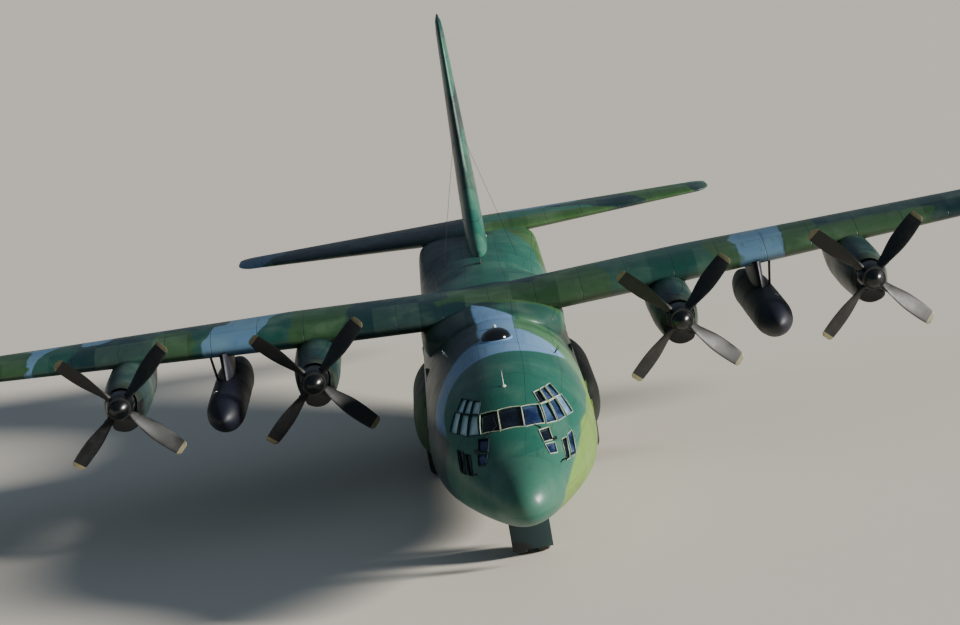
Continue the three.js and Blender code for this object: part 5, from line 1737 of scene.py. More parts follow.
@dataclass
class Engine:
    """One nacelle with its intakes, exhaust, propeller and spinner."""

    number: int
    x: float
    spinner_tip: float = 9.06
    propeller_station: float = 9.62
    pipe_station: float = 15.0
    thrust_height: float = 3.79
    blade_turns: tuple[float, ...] = tuple(math.radians(45 + 90 * i) for i in range(4))
    rows: Table = (
        (9.94, 0.43, 0.4, -0.74, -0.1),
        (10.15, 0.5, 0.46, -0.82, -0.1),
        (10.8, 0.58, 0.55, -0.86, -0.08),
        (11.8, 0.63, 0.62, -0.86, -0.05),
        (13.0, 0.63, 0.66, -0.8, -0.02),
        (14.4, 0.52, 0.5, -0.62, 0.0),
        (15.5, 0.34, 0.2, -0.4, -0.08),
    )

    @property
    def axis_height(self) -> float:
        """Height of the thrust line."""
        return self.thrust_height + abs(self.x) * math.tan(DIHEDRAL)

    def build(self) -> None:
        """Builds the nacelle and the propeller."""
        self.nacelle()
        self.exhaust()
        self.propeller()
        dress_node(f"engine_{self.number}", "bare_metal")
        LOG.info("engine %d", self.number)

    def oval(self, station: float, half_width: float, half: float, middle: float) -> Oval:
        """Gives a section about the thrust line."""
        z = self.axis_height + middle
        return Oval(station, half_width, z + half, z - half, z, x=self.x)

    def nacelle(self) -> None:
        """Builds the cowling with its ring-shaped air intake and chin scoop."""
        z, front, rear = self.axis_height, self.rows[0][0], self.rows[-1][0]
        body = Body(tuple(Oval(s, half, top + z, bottom + z, widest + z, 2.2, x=self.x)
                          for s, half, top, bottom, widest in self.rows))
        cowl = body.loft(f"nacelle_{self.number}_cowl", front, rear, 0.12, 64)
        edge = body.section(front).ring(64)
        centre = at(self.x, front, z - 0.1)
        lip = loft("lip", [[centre + (point - centre) * share - Vector((0, m(out), 0)) for point in edge]
                           for share, out in ((1.0, -0.002), (0.985, 0.02), (0.96, 0.032), (0.93, 0.034))])
        cowl = combined(cowl, [lip], "UNION")
        scoop = loft("scoop", [self.oval(*row).ring(40) for row in (
            (9.8, 0.33, 0.17, -0.585), (10.3, 0.31, 0.16, -0.52), (11.4, 0.24, 0.13, -0.25))])
        gap = turned("gap", ((-0.4, 0.425), (0.2, 0.425)), at(self.x, front, z), AFT, 48)
        cowl = combined(cowl, [gap, scoop])
        dress(cowl, "camouflage_nacelle", replaces=f"nacelle_{self.number}")
        # A black disc closes the ring intake a little way in: painted shade for its dark depth.
        fitting(f"nacelle_{self.number}_bulkhead", ((0.17, 0.11), (0.17, 0.43), (0.2, 0.43), (0.2, 0.11)),
                (self.x, front, z), AFT, "intake_painted_shade", 48)
        liner = loft(f"nacelle_{self.number}_scoop_liner", [self.oval(*row).ring(40) for row in (
            (9.93, 0.342, 0.182, -0.58), (10.3, 0.322, 0.172, -0.52), (11.3, 0.25, 0.14, -0.28),
            (11.28, 0.24, 0.13, -0.28), (10.3, 0.305, 0.155, -0.52), (9.932, 0.322, 0.162, -0.585))])
        # The scoop's black liner is painted shade inside the scoop.
        dress(liner, "anti_glare_black")
        vanes = [rod("vane", *(at(self.x + dx, 10.25, z - drop) for drop in (0.66, 0.38)), 0.012, sides=8)
                 for dx in (-0.16, 0.0, 0.16)]
        vanes = joined(f"nacelle_{self.number}_scoop_vanes", vanes)
        dress(vanes, "bare_metal", degrees=0)

    def exhaust(self) -> None:
        """Builds the jet pipe at the back of the nacelle, with its two bands."""
        z = self.axis_height - 0.1
        pipe = ((0.0, 0.17), (0.0, 0.2), (0.55, 0.205), (0.62, 0.2), (0.62, 0.185), (0.1, 0.175))
        place = (self.x, self.pipe_station, z)
        fitting(f"exhaust_{self.number}", pipe, place, AFT, "exhaust_metal", 48)
        bands = [closed_ring("band", ((-0.02, 0.2), (-0.02, 0.212), (0.02, 0.212), (0.02, 0.2)),
                             at(self.x, self.pipe_station + along, z), AFT, 32) for along in (0.2, 0.4)]
        dress(joined(f"exhaust_{self.number}_bands", bands), "exhaust_metal")

    def blade_ring(self, radius: float, half_chord: float, half_thickness: float, pitch: float, turn: float
                   ) -> Ring:
        """Gives one section of a blade as a ring of points.

        Args:
            radius: Distance from the axis.
            half_chord: Half the blade's width.
            half_thickness: Half its thickness.
            pitch: Twist in degrees.
            turn: The blade's place round the axis.

        Returns:
            The ring.
        """
        s, c = math.sin(math.radians(pitch)), math.cos(math.radians(pitch))
        u, v = math.cos(turn), math.sin(turn)
        ring = []
        for i in range(20):
            angle = math.tau * i / 20
            chordwise, through = half_chord * math.cos(angle), half_thickness * math.sin(angle)
            through += half_thickness * 0.25 * (1 - math.cos(angle) ** 2)
            across, along = chordwise * c - through * s, chordwise * s + through * c
            ring.append(at(self.x + radius * u - across * v, self.propeller_station + along,
                           self.axis_height + radius * v + across * u))
        return ring

    def propeller(self) -> None:
        """Builds four twisted blades with cuffs and pale tips, and the spinner."""
        body = f"propeller_{self.number}"
        keys = (0.2, 0.7, 1.2, 1.98, 2.055)
        columns = ((0.085, 0.2, 0.25, 0.2, 0.11), (0.085, 0.045, 0.03, 0.014, 0.008), (70, 50, 36, 24, 23))

        def lengths(start: float, end: float, steps: int, grow: float = 0.0) -> list[Piece]:
            """Draws all four blades between two radii."""
            sections = []
            for k in range(steps + 1):
                radius = mix(start, end, k / steps)
                half_chord, half_thickness, pitch = (smooth(keys, column, radius) for column in columns)
                sections.append((radius, half_chord + grow, half_thickness + grow, pitch))
            return [loft("blade", [self.blade_ring(*section, turn) for section in sections])
                    for turn in self.blade_turns]

        tip = at(self.x, self.spinner_tip, self.axis_height)
        hub = turned("hub", ((0.2, 0.05), (0.2, 0.3), (0.45, 0.34), (0.8, 0.35), (0.83, 0.2), (0.84, 0.05)),
                     tip, AFT, 32)
        blades = joined(f"{body}_blades", [*lengths(0.2, 1.93, 14), hub])
        dress(blades, "blade_black", body, body)
        dress(joined(f"{body}_tips", lengths(1.932, 2.05, 6)), "blade_tip", body)
        dress(joined(f"{body}_cuffs", lengths(0.3, 0.56, 5, 0.012)), "brake_hose", body)
        profile = [(0.0, 0.012), (0.008, 0.05), (0.03, 0.1), (0.08, 0.165), (0.16, 0.235), (0.26, 0.295),
                   (0.36, 0.335), (0.46, 0.358), (0.6, 0.374), (0.72, 0.381), (0.78, 0.383), (0.785, 0.377),
                   (0.795, 0.377), (0.8, 0.384), (0.84, 0.385), (0.843, 0.37)]
        spinner = turned(f"{body}_spinner", profile, tip, AFT, 64)
        holes = []
        for turn in self.blade_turns:
            ends = (at(self.x + reach * math.cos(turn), self.propeller_station,
                       self.axis_height + reach * math.sin(turn)) for reach in (0.25, 0.5))
            holes.append(rod("hole", *ends, 0.11, 0.11, 32))
        dress(combined(spinner, holes), "spinner_black", body)


@dataclass
class FuelTank:
    """An external tank with its nose cap, pylon, brace and filler caps."""

    name: str
    side: int
    x: float = 7.5
    start: float = 9.3
    end: float = 17.3
    radius: float = 0.53
    drop: float = 1.29
    seams: tuple[float, ...] = (0.1, 0.38, 0.62)
    pylon_start: float = 11.9
    pylon_chord: float = 3.4
    brace_station: float = 12.7
    cap_stations: tuple[float, float] = (11.0, 15.4)
    cap_turn: float = 0.5

    def build(self) -> None:
        """Builds the tank and what carries it."""
        x = self.side * self.x
        z = WING_HEIGHT + self.x * math.tan(DIHEDRAL) - self.drop
        keys = (0, 0.005, 0.025, 0.06, 0.1, 0.15, 0.25, 0.62, 0.76, 0.88, 0.97, 1)
        radii = (0.02, 0.2, 0.48, 0.74, 0.9, 0.985, 1, 1, 0.84, 0.52, 0.2, 0.02)
        steps = [(i / 60) ** 1.5 for i in range(61)]
        profile = [(t * (self.end - self.start), self.radius * smooth(keys, radii, t)) for t in steps]
        shell = turned(f"fuel_tank_{self.name}_shell", profile, at(x, self.start, z), AFT, 64)
        rings = []
        for share in self.seams:
            reach = self.radius * smooth(keys, radii, share)
            s = mix(self.start, self.end, share)
            band = [(along, reach + proud) for along, proud in (
                (-0.02, -0.02), (-0.018, 0.004), (0.018, 0.004), (0.02, -0.02))]
            rings.append(turned("seam", band, at(x, s, z), AFT, 64))
        dress(joined(f"fuel_tank_{self.name}_seams", rings), "tank_paint")
        dress(shell, "tank_paint", replaces=f"fuel_tank_{self.name}")
        rings = []
        for height, lean, widen in ((0.3, 0.0, 1.5), (0.42, 0.0, 1.12), (0.6, 0.06, 1.0), (0.9, 0.18, 1.0),
                                    (1.1, 0.28, 1.1), (1.22, 0.32, 1.5)):
            rings.append([at(x + up * widen, self.pylon_start + lean + along, z + height)
                          for along, up in aerofoil(self.pylon_chord, 0.09, 0, 20)])
        # The pylon takes the tank's near-black paint as painted shade, as if the wing shaded it.
        dress(loft(f"tank_pylon_{self.name}", rings), "tank_paint")
        low, foot, mid, high = (at(x + self.side * out, self.brace_station, z + up) for out, up in (
            (0.29, 0.33), (0.3, 0.36), (0.3, 0.4), (0.4, 1.15)))
        brace, pad = rod("brace", foot, high, 0.035), rod("pad", low, mid, 0.07, 0.05)
        # The brace is near-black too, painted shade like the pylon.
        dress(joined(f"tank_brace_{self.name}", [brace, pad]), "anti_glare_black")
        across, up = math.sin(self.cap_turn), math.cos(self.cap_turn)
        caps = [turned("cap", ((-0.02, 0.07), (0.004, 0.07), (0.012, 0.06), (0.012, 0.02)),
                       at(x + self.radius * across * self.side, s, z + self.radius * up),
                       Vector((across * self.side, 0, up)), 24) for s in self.cap_stations]
        dress(joined(f"tank_caps_{self.name}", caps), "bare_metal")


# Tail


@dataclass
class Tail:
    """The fin, rudder, tailplane and elevators."""

    fin_rows: Table = (
        (4.3, 20.3, 29.1, 0.07),
        (4.75, 20.9, 29.1, 0.08),
        (5.4, 22.7, 29.08, 0.1),
        (6.4, 23.9, 29.05, 0.115),
        (8.6, 25.1, 28.98, 0.115),
        (11.15, 26.35, 28.9, 0.105),
        (11.5, 26.65, 28.85, 0.09),
        (11.66, 27.2, 28.6, 0.06),
    )
    fin_hinge: float = 27.72
    rudder_span: tuple[float, float] = (4.92, 11.3)
    plane_hinge: float = 28.0
    plane_height: float = 4.5
    plane_tip: float = 8.03
    elevator_span: tuple[float, float] = (0.72, 7.5)

    def build(self) -> None:
        """Builds the fin and the tailplane."""
        self.fin()
        self.tailplane()
        self.fittings()
        LOG.info("tail")

    @staticmethod
    def half(leading: float, trailing: float, thickness: float, station: float) -> float:
        """Gives half the thickness of a symmetrical section at a station."""
        t = (station - leading) / (trailing - leading)
        return 5 * thickness * (trailing - leading) * half_depth(t)

    def fin_row(self, z: float) -> tuple[float, ...]:
        """Gives leading edge, trailing edge and thickness of the fin at a height."""
        keys = [row[0] for row in self.fin_rows]
        i = max(1, min(len(keys) - 1, bisect_right(keys, z)))
        share = (z - keys[i - 1]) / (keys[i] - keys[i - 1])
        return tuple(mix(a, b, share) for a, b in zip(self.fin_rows[i - 1][1:], self.fin_rows[i][1:]))

    def fin_half(self, z: float) -> float:
        """Gives half the fin's thickness at the rudder's hinge."""
        return self.half(*self.fin_row(z), self.fin_hinge)

    def fin_solid(self, name: str) -> Piece:
        """Draws the whole fin with its swept root."""
        rings = []
        for z in (4.3, 4.5, 4.75, 4.95, 5.15, 5.4, 5.8, 6.4, 7.2, 8.0, 8.6, 9.6, 10.6, 11.15, 11.35, 11.5,
                  11.6, 11.655):
            leading, trailing, thickness = self.fin_row(z)
            outline = aerofoil(trailing - leading, thickness, 0, 28)
            rings.append([at(up, leading + along, z) for along, up in outline])
        return loft(name, rings)

    def fin(self) -> None:
        """Builds the fin and the rudder, whose round nose turns in a cove."""
        low, high = self.rudder_span
        radii = [self.fin_half(low), self.fin_half(high)]
        inner_rows = [row[0] for row in self.fin_rows if low < row[0] < high]
        wider = max(1.0, *(self.fin_half(z) / mix(*radii, (z - low) / (high - low)) for z in inner_rows))
        radii = [radius * wider for radius in radii]
        nose = rod("nose", at(0, self.fin_hinge, low), at(0, self.fin_hinge, high), *radii, 48)
        surface = block("surface", (-1, self.fin_hinge, low), (1, LENGTH + 1, high))
        rudder = combined(self.fin_solid("rudder_skin"), [combined(surface, [nose], "UNION")], "INTERSECT")
        dress(rudder, "camouflage_fin", "rudder", "rudder")
        cove = rod("cove", at(0, self.fin_hinge, low - CLEARANCE), at(0, self.fin_hinge, high + CLEARANCE),
                   radii[0] + CLEARANCE, radii[1] + CLEARANCE, 48)
        bay = block("bay", (-1, self.fin_hinge, low - CLEARANCE), (1, LENGTH + 1, high + CLEARANCE))
        fin = combined(self.fin_solid("fin_skin"), [bay, cove])
        dress(fin, "camouflage_fin", replaces="fin")

    def plane_row(self, x: float) -> tuple[float, float, float]:
        """Gives leading edge, trailing edge and thickness of the tailplane."""
        share = abs(x) / self.plane_tip
        return mix(25.0, 26.85, share), mix(29.3, 28.75, share), mix(0.12, 0.1, share)

    def plane_solid(self, name: str) -> Piece:
        """Draws the whole tailplane with rounded tips."""
        tip = self.plane_tip
        stops = [(tip, 0.55), (tip - 0.03, 0.68), (tip - 0.12, 0.84), (tip - 0.25, 0.94), (tip - 0.4, 1.0)]
        stops += [(tip - 0.4 - i * (tip - 0.4) / 9, 1.0) for i in range(1, 9)]
        stops = [*((-x, kept) for x, kept in stops), (0.0, 1.0), *reversed(stops)]
        rings = []
        for x, kept in stops:
            leading, trailing, thickness = self.plane_row(x)
            chord = (trailing - leading) * kept
            start = leading + (trailing - leading - chord) * 0.6
            rings.append([at(x, start + along, self.plane_height + up)
                          for along, up in aerofoil(chord, thickness * kept, 0, 24)])
        return loft(name, rings)

    def tailplane(self) -> None:
        """Builds the tailplane and its elevators."""
        plane = self.plane_solid("tailplane_skin")
        tools = [tool for name, side in SIDES.items() for tool in self.elevator(name, side, plane)]
        dress(combined(plane, tools), "camouflage_tailplane", replaces="tailplane")

    def elevator(self, name: str, side: int, plane: Piece) -> tuple[Piece, Piece]:
        """Builds one elevator, whose round nose turns in a cove.

        Args:
            name: Name of its side.
            side: 1 for left, -1 for right.
            plane: The whole tailplane, of which it takes a copy.

        Returns:
            The bay and the cove that are cut out of the tailplane.
        """
        inner, outer = self.elevator_span
        radii = [self.half(*self.plane_row(x), self.plane_hinge) for x in self.elevator_span]

        def outline(gap: float) -> list[tuple[float, float]]:
            """Gives the plan of the elevator or of its bay."""
            near, far, start = side * (inner - gap), side * (outer + gap), self.plane_hinge - 0.001
            return [(near, start), (near, self.plane_hinge + 0.2), (side * (inner + 0.3 - gap), LENGTH - 0.4),
                    (far, LENGTH - 0.4), (far, start)]

        def line(x: float) -> Vector:
            """Gives a point of the hinge line."""
            return at(side * x, self.plane_hinge, self.plane_height)

        surface = plan_prism("surface", outline(0.0), 3.5, 5.5)
        surface = combined(surface, [rod("nose", line(inner), line(outer), *radii, 40)], "UNION")
        elevator = combined(copied(plane, f"elevator_{name}_skin"), [surface], "INTERSECT")
        dress(elevator, "camouflage_tailplane", f"elevator_{name}", f"elevator_{name}")
        coves = [radius + CLEARANCE for radius in radii]
        return (plan_prism("bay", outline(CLEARANCE), 3.5, 5.5),
                rod("cove", line(inner - CLEARANCE), line(outer + CLEARANCE), *coves, 40))

    def fittings(self) -> None:
        """Builds the beacon, the tail light and the aerial wires."""
        fitting("fin_beacon_base", ((-0.05, 0.07), (0.0, 0.07), (0.012, 0.062), (0.014, 0.03)),
                (0, 27.6, HEIGHT - 0.06), UP, "antenna_white")
        fitting("fin_beacon", ((0.0, 0.055), (0.03, 0.053), (0.05, 0.035), (0.056, 0.008)),
                (0, 27.6, HEIGHT - 0.055), UP, "red_light_glass")
        for name, side in SIDES.items():
            foot = HULL.section(21.2).point(hull_angle(side * 1.2, 21.2, 4.4), -0.01)
            wire = rod(f"antenna_wire_{name}", foot, at(side * 0.05, 25.6, 8.2), 0.006, sides=6)
            dress(wire, "brake_hose", degrees=0)
        fitting("tail_light", ((-0.03, 0.05), (0.0, 0.05), (0.02, 0.03), (0.025, 0.008)),
                (0, LENGTH - 0.03, 4.23), AFT, "clear_light_glass", 24)


# Roof fittings


@dataclass
class Roof:
    """The observation dome, aerials and probes on the forward fuselage."""

    dome: Point = (0.0, 8.35, 4.59)
    dome_radius: float = 0.39

    def build(self) -> None:
        """Builds all fittings."""
        self.observation_dome()
        self.aerials()
        self.probes()
        LOG.info("roof fittings")

    def observation_dome(self) -> None:
        """Builds the dark glass dome in its ring, and the small light behind it."""
        r = self.dome_radius
        turns = [math.radians(8 * i) for i in range(11)]
        profile = [(-0.08, r), *((r * math.sin(t) * 0.72, r * math.cos(t)) for t in turns), (r * 0.718, 0.02)]
        fitting("roof_dome", profile, self.dome, UP, "dome_black", 64)
        rim = ((-0.1, r - 0.01), (-0.1, r + 0.05), (0.0, r + 0.05), (0.02, r + 0.03), (0.02, r - 0.01))
        fitting("roof_dome_ring", rim, self.dome, UP, "camouflage_body", sides=64)
        fitting("roof_light_base", ((-0.03, 0.08), (0.02, 0.07), (0.03, 0.05)), (0.02, 9.6, 4.6), UP,
                "antenna_white", sides=24)
        fitting("roof_light", ((0.0, 0.05), (0.05, 0.045), (0.075, 0.03), (0.085, 0.008)),
                (0.02, 9.6, 4.62), UP, "clear_light_glass", 24)

    def aerials(self) -> None:
        """Builds the whip on the nose roof, the blade aerials behind it and the tail's roof vent."""
        foot = on_hull(-0.03, 3.94, 4.31, -0.01)
        whip = rod("whip_aerial", foot, foot + Vector((0, m(0.05), m(0.38))), 0.013, 0.004, 12)
        cup = turned("cup", ((-0.01, 0.06), (0.02, 0.055), (0.04, 0.025)), foot, UP, 24)
        dress(joined("whip_aerial", [whip, cup]), "antenna_white")
        for number, (x, s, height, chord) in enumerate(((0.0, 19.4, 0.34, 0.36), (0.35, 24.2, 0.05, 0.3)), 1):
            z = HULL.section(s).top - 0.02
            rings = []
            for share in (0.0, 0.15, 0.6, 0.9, 1.0):
                size = chord * mix(1.0, 0.55, share)
                rings.append([at(x + up, s + share * 0.12 + along, z + height * share)
                              for along, up in aerofoil(size, 0.12 * (1.0 if share < 1 else 0.5), 0, 10)])
            finish = "antenna_white" if number == 2 else "anti_glare_black"
            dress(loft(f"blade_aerial_{number}", rings), finish)
        # The vent's black disc is painted shade in its opening.
        fitting("tail_roof_vent", ((-0.03, 0.16), (0.012, 0.16), (0.02, 0.145), (0.02, 0.02)),
                (0.0, 23.2, 4.58), UP, "intake_painted_shade")

    def probes(self) -> None:
        """Builds the V-shaped probes, the pitot heads and the windscreen wipers."""
        for name, side in SIDES.items():
            root, tip, end = (on_hull(side * x, s, z, proud) for x, s, z, proud in (
                (0.66, 2.56, 3.5, 0.01), (0.36, 2.66, 3.64, 0.03), (0.42, 2.93, 3.84, 0.02)))
            wiper = [rod("arm", root, tip, 0.013, 0.009, 10), rod("blade", tip, end, 0.009, 0.009, 8),
                     rod("pivot", root - UP * m(0.04), root + UP * m(0.02), 0.025, sides=12)]
            dress(joined(f"wiper_{name}", wiper), "anti_glare_black")
        for number, (x, s, z) in enumerate(((1.42, 7.79, 4.05), (-1.32, 9.09, 4.14)), 1):
            foot = on_hull(x, s, z, -0.01)
            out = (foot - at(0, s, HULL_MIDDLE)).normalized()
            arms = [rod("arm", foot, foot + out * m(0.22) + Vector((0, m(lean), 0)), 0.014, 0.008, 10)
                    for lean in (-0.16, 0.14)]
            finish = "anti_glare_black" if number == 1 else "antenna_white"
            dress(joined(f"v_probe_{number}", arms), finish)
        for name, side in SIDES.items():
            tubes = []
            for x, s, z in ((1.0, 1.9, 2.78), (1.17, 2.38, 2.74)):
                foot = on_hull(side * x, s, z, -0.01)
                knee = foot + Vector((side * m(0.1), -m(0.03), m(0.03)))
                tubes.append(rod("mast", foot, knee, 0.022, 0.016, 12))
                tubes.append(rod("tube", knee + AFT * m(0.03), knee - AFT * m(0.16), 0.016, 0.01, 12))
            dress(joined(f"pitot_heads_{name}", tubes), "anti_glare_black")


# Landing gear


@dataclass
class MainGear:
    """One side's fairing, legs, two wheels in line and the well's door."""

    name: str
    side: int
    wheel_x: float = 2.175
    strut_x: float = 1.83
    stations: tuple[float, float] = (13.21, 14.73)
    radius: float = MAIN_WHEEL_RADIUS
    half_width: float = 0.255
    fairing_middle: float = 1.5
    rows: Table = (
        (10.2, 1.96, 1.98, 1.7),
        (10.26, 2.08, 2.16, 1.53),
        (10.4, 2.2, 2.38, 1.34),
        (10.7, 2.34, 2.62, 1.1),
        (11.5, 2.54, 2.88, 0.82),
        (12.6, 2.62, 2.96, 0.7),
        (15.6, 2.62, 2.9, 0.7),
        (16.7, 2.48, 2.6, 0.82),
        (17.5, 2.18, 2.15, 1.25),
    )

    def build(self) -> None:
        """Builds everything on this side."""
        self.sponson()
        self.legs()
        self.wheels()
        self.door()
        LOG.info("main gear: %s", self.name)

    def sponson(self) -> None:
        """Builds the fairing with its open wheel well."""
        middle, start, end = self.fairing_middle, self.rows[0][0], self.rows[-1][0]
        body = Body(tuple(
            Oval(s, out - middle, top, bottom, (top + bottom) / 2 - 0.1, 2.6, x=self.side * middle)
            for s, out, top, bottom in self.rows))
        fairing = body.loft(f"gear_fairing_{self.name}", start, end, 0.06, 72)
        well = block("well", (self.side * 1.2, WELL_START, 0), (self.side * 2.5, WELL_END, WELL_TOP))
        hull = HULL.loft("hull", 10.0, 17.7, 0.5, 112, -0.004)
        fairing = combined(fairing, [well, hull])
        # The fairing's near-black paint is painted shade.
        dress(fairing, "camouflage_sponson_painted_shade", replaces=f"gear_sponson_{self.name}", degrees=40)
        pad = block(f"jack_pad_{self.name}", (self.side * 1.9, 12.05, 0.682), (self.side * 2.06, 12.21, 0.9))
        dress(bevelled(pad, 0.008), "bare_metal")

    def legs(self) -> None:
        """Builds the two struts with sliding tubes, torque links, axles, beam and brake pipes."""
        side, height = self.side, self.radius
        x = side * self.strut_x
        casings, tubes, pipes = [], [], []
        for s in self.stations:
            casing = ((0.0, 0.066), (0.0, 0.08), (0.06, 0.08), (0.07, 0.072), (0.72, 0.072), (0.73, 0.066))
            casings.append(turned("casing", casing, at(x, s, height + 0.42), UP, 32))
            tubes.append(rod("tube", at(x, s, height - 0.1), at(x, s, height + 0.5), 0.055, sides=32))
            inner, outer = at(x - side * 0.05, s, height), at(side * (self.wheel_x + 0.2), s, height)
            casings.append(rod("axle", inner, outer, 0.058, sides=32))
            casings.append(turned("hub", ((-0.07, 0.05), (-0.07, 0.085), (0.07, 0.085), (0.07, 0.05)),
                                  at(x, s, height), Vector((side, 0, 0)), 32))
            for lower, upper in ((height + 0.02, height + 0.24), (height + 0.46, height + 0.24)):
                link = rod("link", at(x, s + 0.06, lower), at(x, s + 0.2, upper), 0.022, 0.016, 10)
                casings.append(link)
            pipes.append(rod("pipe", at(x - side * 0.06, s - 0.05, height + 0.05),
                             at(x - side * 0.07, s - 0.06, height + 1.05), 0.01, sides=8))
        beam = block("beam", (x - 0.04, self.stations[0], 1.5), (x + 0.04, self.stations[1], 1.6))
        casings.append(bevelled(beam, 0.012))
        legs = joined(f"main_legs_{self.name}", casings)
        dress(legs, "gear_white", replaces=f"main_gear_legs_{self.name}")
        dress(joined(f"main_leg_tubes_{self.name}", tubes), "chrome_rod")
        dress(joined(f"main_leg_pipes_{self.name}", pipes), "brake_hose")

    def wheels(self) -> None:
        """Builds both wheels, each with a grooved tyre, a hub and its bolts."""
        for place, station in zip(("front", "rear"), self.stations):
            body = f"main_wheel_{place}_{self.name}"
            build_wheel(body, body, at(self.side * self.wheel_x, station, self.radius), self.radius,
                        self.half_width, Vector((self.side, 0, 0)), 0.063)

    def door(self) -> None:
        """Builds the door that hangs beside the wheels."""
        door = block(f"main_door_{self.name}", (self.side * 1.7207, WELL_START + 0.1, 0.24),
                     (self.side * 1.745, WELL_END - 0.1, 1.45))
        # The door takes the sponsons' near-black paint, which is painted shade.
        dress(bevelled(door, 0.006), "camouflage_sponson_painted_shade", replaces=f"main_gear_door_{self.name}")


def build_wheel(name: str, body: str, centre: Vector, radius: float, half: float, axis: Vector, bore: float,
                replaces: bool = True) -> None:
    """Builds one wheel: tyre with tread grooves, rim, hub cap and bolts.

    Args:
        name: Start of the pieces' names, and the node they stand for.
        body: Body that they turn with.
        centre: Middle of the wheel.
        radius: Real radius of the tyre.
        half: Half the tyre's real width.
        axis: Outward direction of the axle.
        bore: Real radius of the hub's bore.
        replaces: Whether the tyre stands for the node.
    """
    rim = radius * 0.56
    arc = [(-0.6, rim * 0.97), (-0.92, rim), (-0.99, rim * 1.12)]
    arc += [(reach, radius * share) for reach, share in (
        (-1.0, 0.74), (-0.97, 0.84), (-0.87, 0.93), (-0.72, 0.975), (-0.55, 0.993))]
    tread = [(groove + beside, radius * share) for groove in (-0.36, 0.0, 0.36) for beside, share in (
        (-0.05, 0.999), (-0.04, 0.975), (0.04, 0.975), (0.05, 0.999))]
    profile = [*arc, *tread, *((-reach, size) for reach, size in reversed(arc))]
    profile = [(reach * half, size) for reach, size in (*profile, (0.6, rim * 0.9), (-0.6, rim * 0.9))]
    tyre = closed_ring(f"{name}_tyre", profile, centre, axis, 72)
    dress(tyre, "tyre_rubber_main" if radius == MAIN_WHEEL_RADIUS else "tyre_rubber_nose", body,
          name if replaces else None)
    dish = [(reach * half, size) for reach, size in (
        (0.6, bore), (0.62, bore * 1.9), (0.35, bore * 2.1), (0.3, rim * 0.62), (0.62, rim * 0.86),
        (0.66, rim * 0.98), (0.6, rim * 0.985), (0.1, rim * 0.93), (-0.6, rim * 0.93), (-0.62, bore))]
    hub = closed_ring(f"{name}_hub", dish, centre, axis, 48)
    feet = [point + axis * m(0.3 * half) for point in hoop(centre, axis, rim * 0.5, 10)]
    bolts = [rod("bolt", foot, foot + axis * m(0.03), 0.016, 0.014, 6) for foot in feet]
    cap = turned("cap", ((0.55 * half, bore * 1.7), (0.7 * half, bore * 1.6), (0.74 * half, bore * 1.2),
                         (0.75 * half, 0.01)), centre, axis, 32)
    dress(joined(f"{name}_hub", [hub, cap, *bolts]), "wheel_hub", body)


@dataclass
class NoseGear:
    """The nose leg, its steered fork, twin wheels and the two doors."""

    station: float = NOSE_GEAR_STATION
    wheel_x: float = 0.27
    radius: float = NOSE_WHEEL_RADIUS
    half_width: float = 0.165

    def build(self) -> None:
        """Builds the nose gear."""
        s, height = self.station, self.radius
        parts = [
            turned("cylinder", ((0.0, 0.056), (0.0, 0.085), (0.05, 0.085), (0.06, 0.075), (0.6, 0.075),
                                (0.68, 0.085), (0.69, 0.02)), at(0, s, 0.98), UP, 40),
            rod("trunnion", at(-0.69, s, 1.6), at(0.69, s, 1.6), 0.06, sides=32),
            rod("brace", at(0, s, 1.2), at(0, 3.02, 1.55), 0.04, sides=24),
        ]
        dress(joined("nose_leg", parts), "gear_white", replaces="nose_gear_leg")
        dress_node("nose_gear_fork", "gear_white")
        fitting("taxi_light", ((-0.08, 0.02), (-0.05, 0.08), (0.0, 0.095), (0.012, 0.095), (0.012, 0.01)),
                (0, s - 0.12, 1.06), AHEAD, "clear_light_glass")
        for number, x in ((1, self.wheel_x), (2, -self.wheel_x)):
            axis = Vector((math.copysign(1, x), 0, 0))
            build_wheel(f"nose_wheel_{number}", "nose_wheels", at(x, s, height), self.radius, self.half_width,
                        axis, 0.052, replaces=False)
        axle = rod("nose_axle", at(-self.wheel_x, s, height), at(self.wheel_x, s, height), 0.05, sides=32)
        dress(axle, "chrome_rod", "nose_wheels", "nose_wheels")
        for name, (start, end) in {"front": (3.001, 3.03), "rear": (4.87, 4.899)}.items():
            door = bevelled(block(f"nose_door_{name}", (-0.5, start, 0.42), (0.5, end, 1.4)), 0.006)
            # The door takes the sponsons' near-black paint, which is painted shade.
            dress(door, "camouflage_sponson_painted_shade", replaces=f"nose_gear_door_{name}")


# Inside


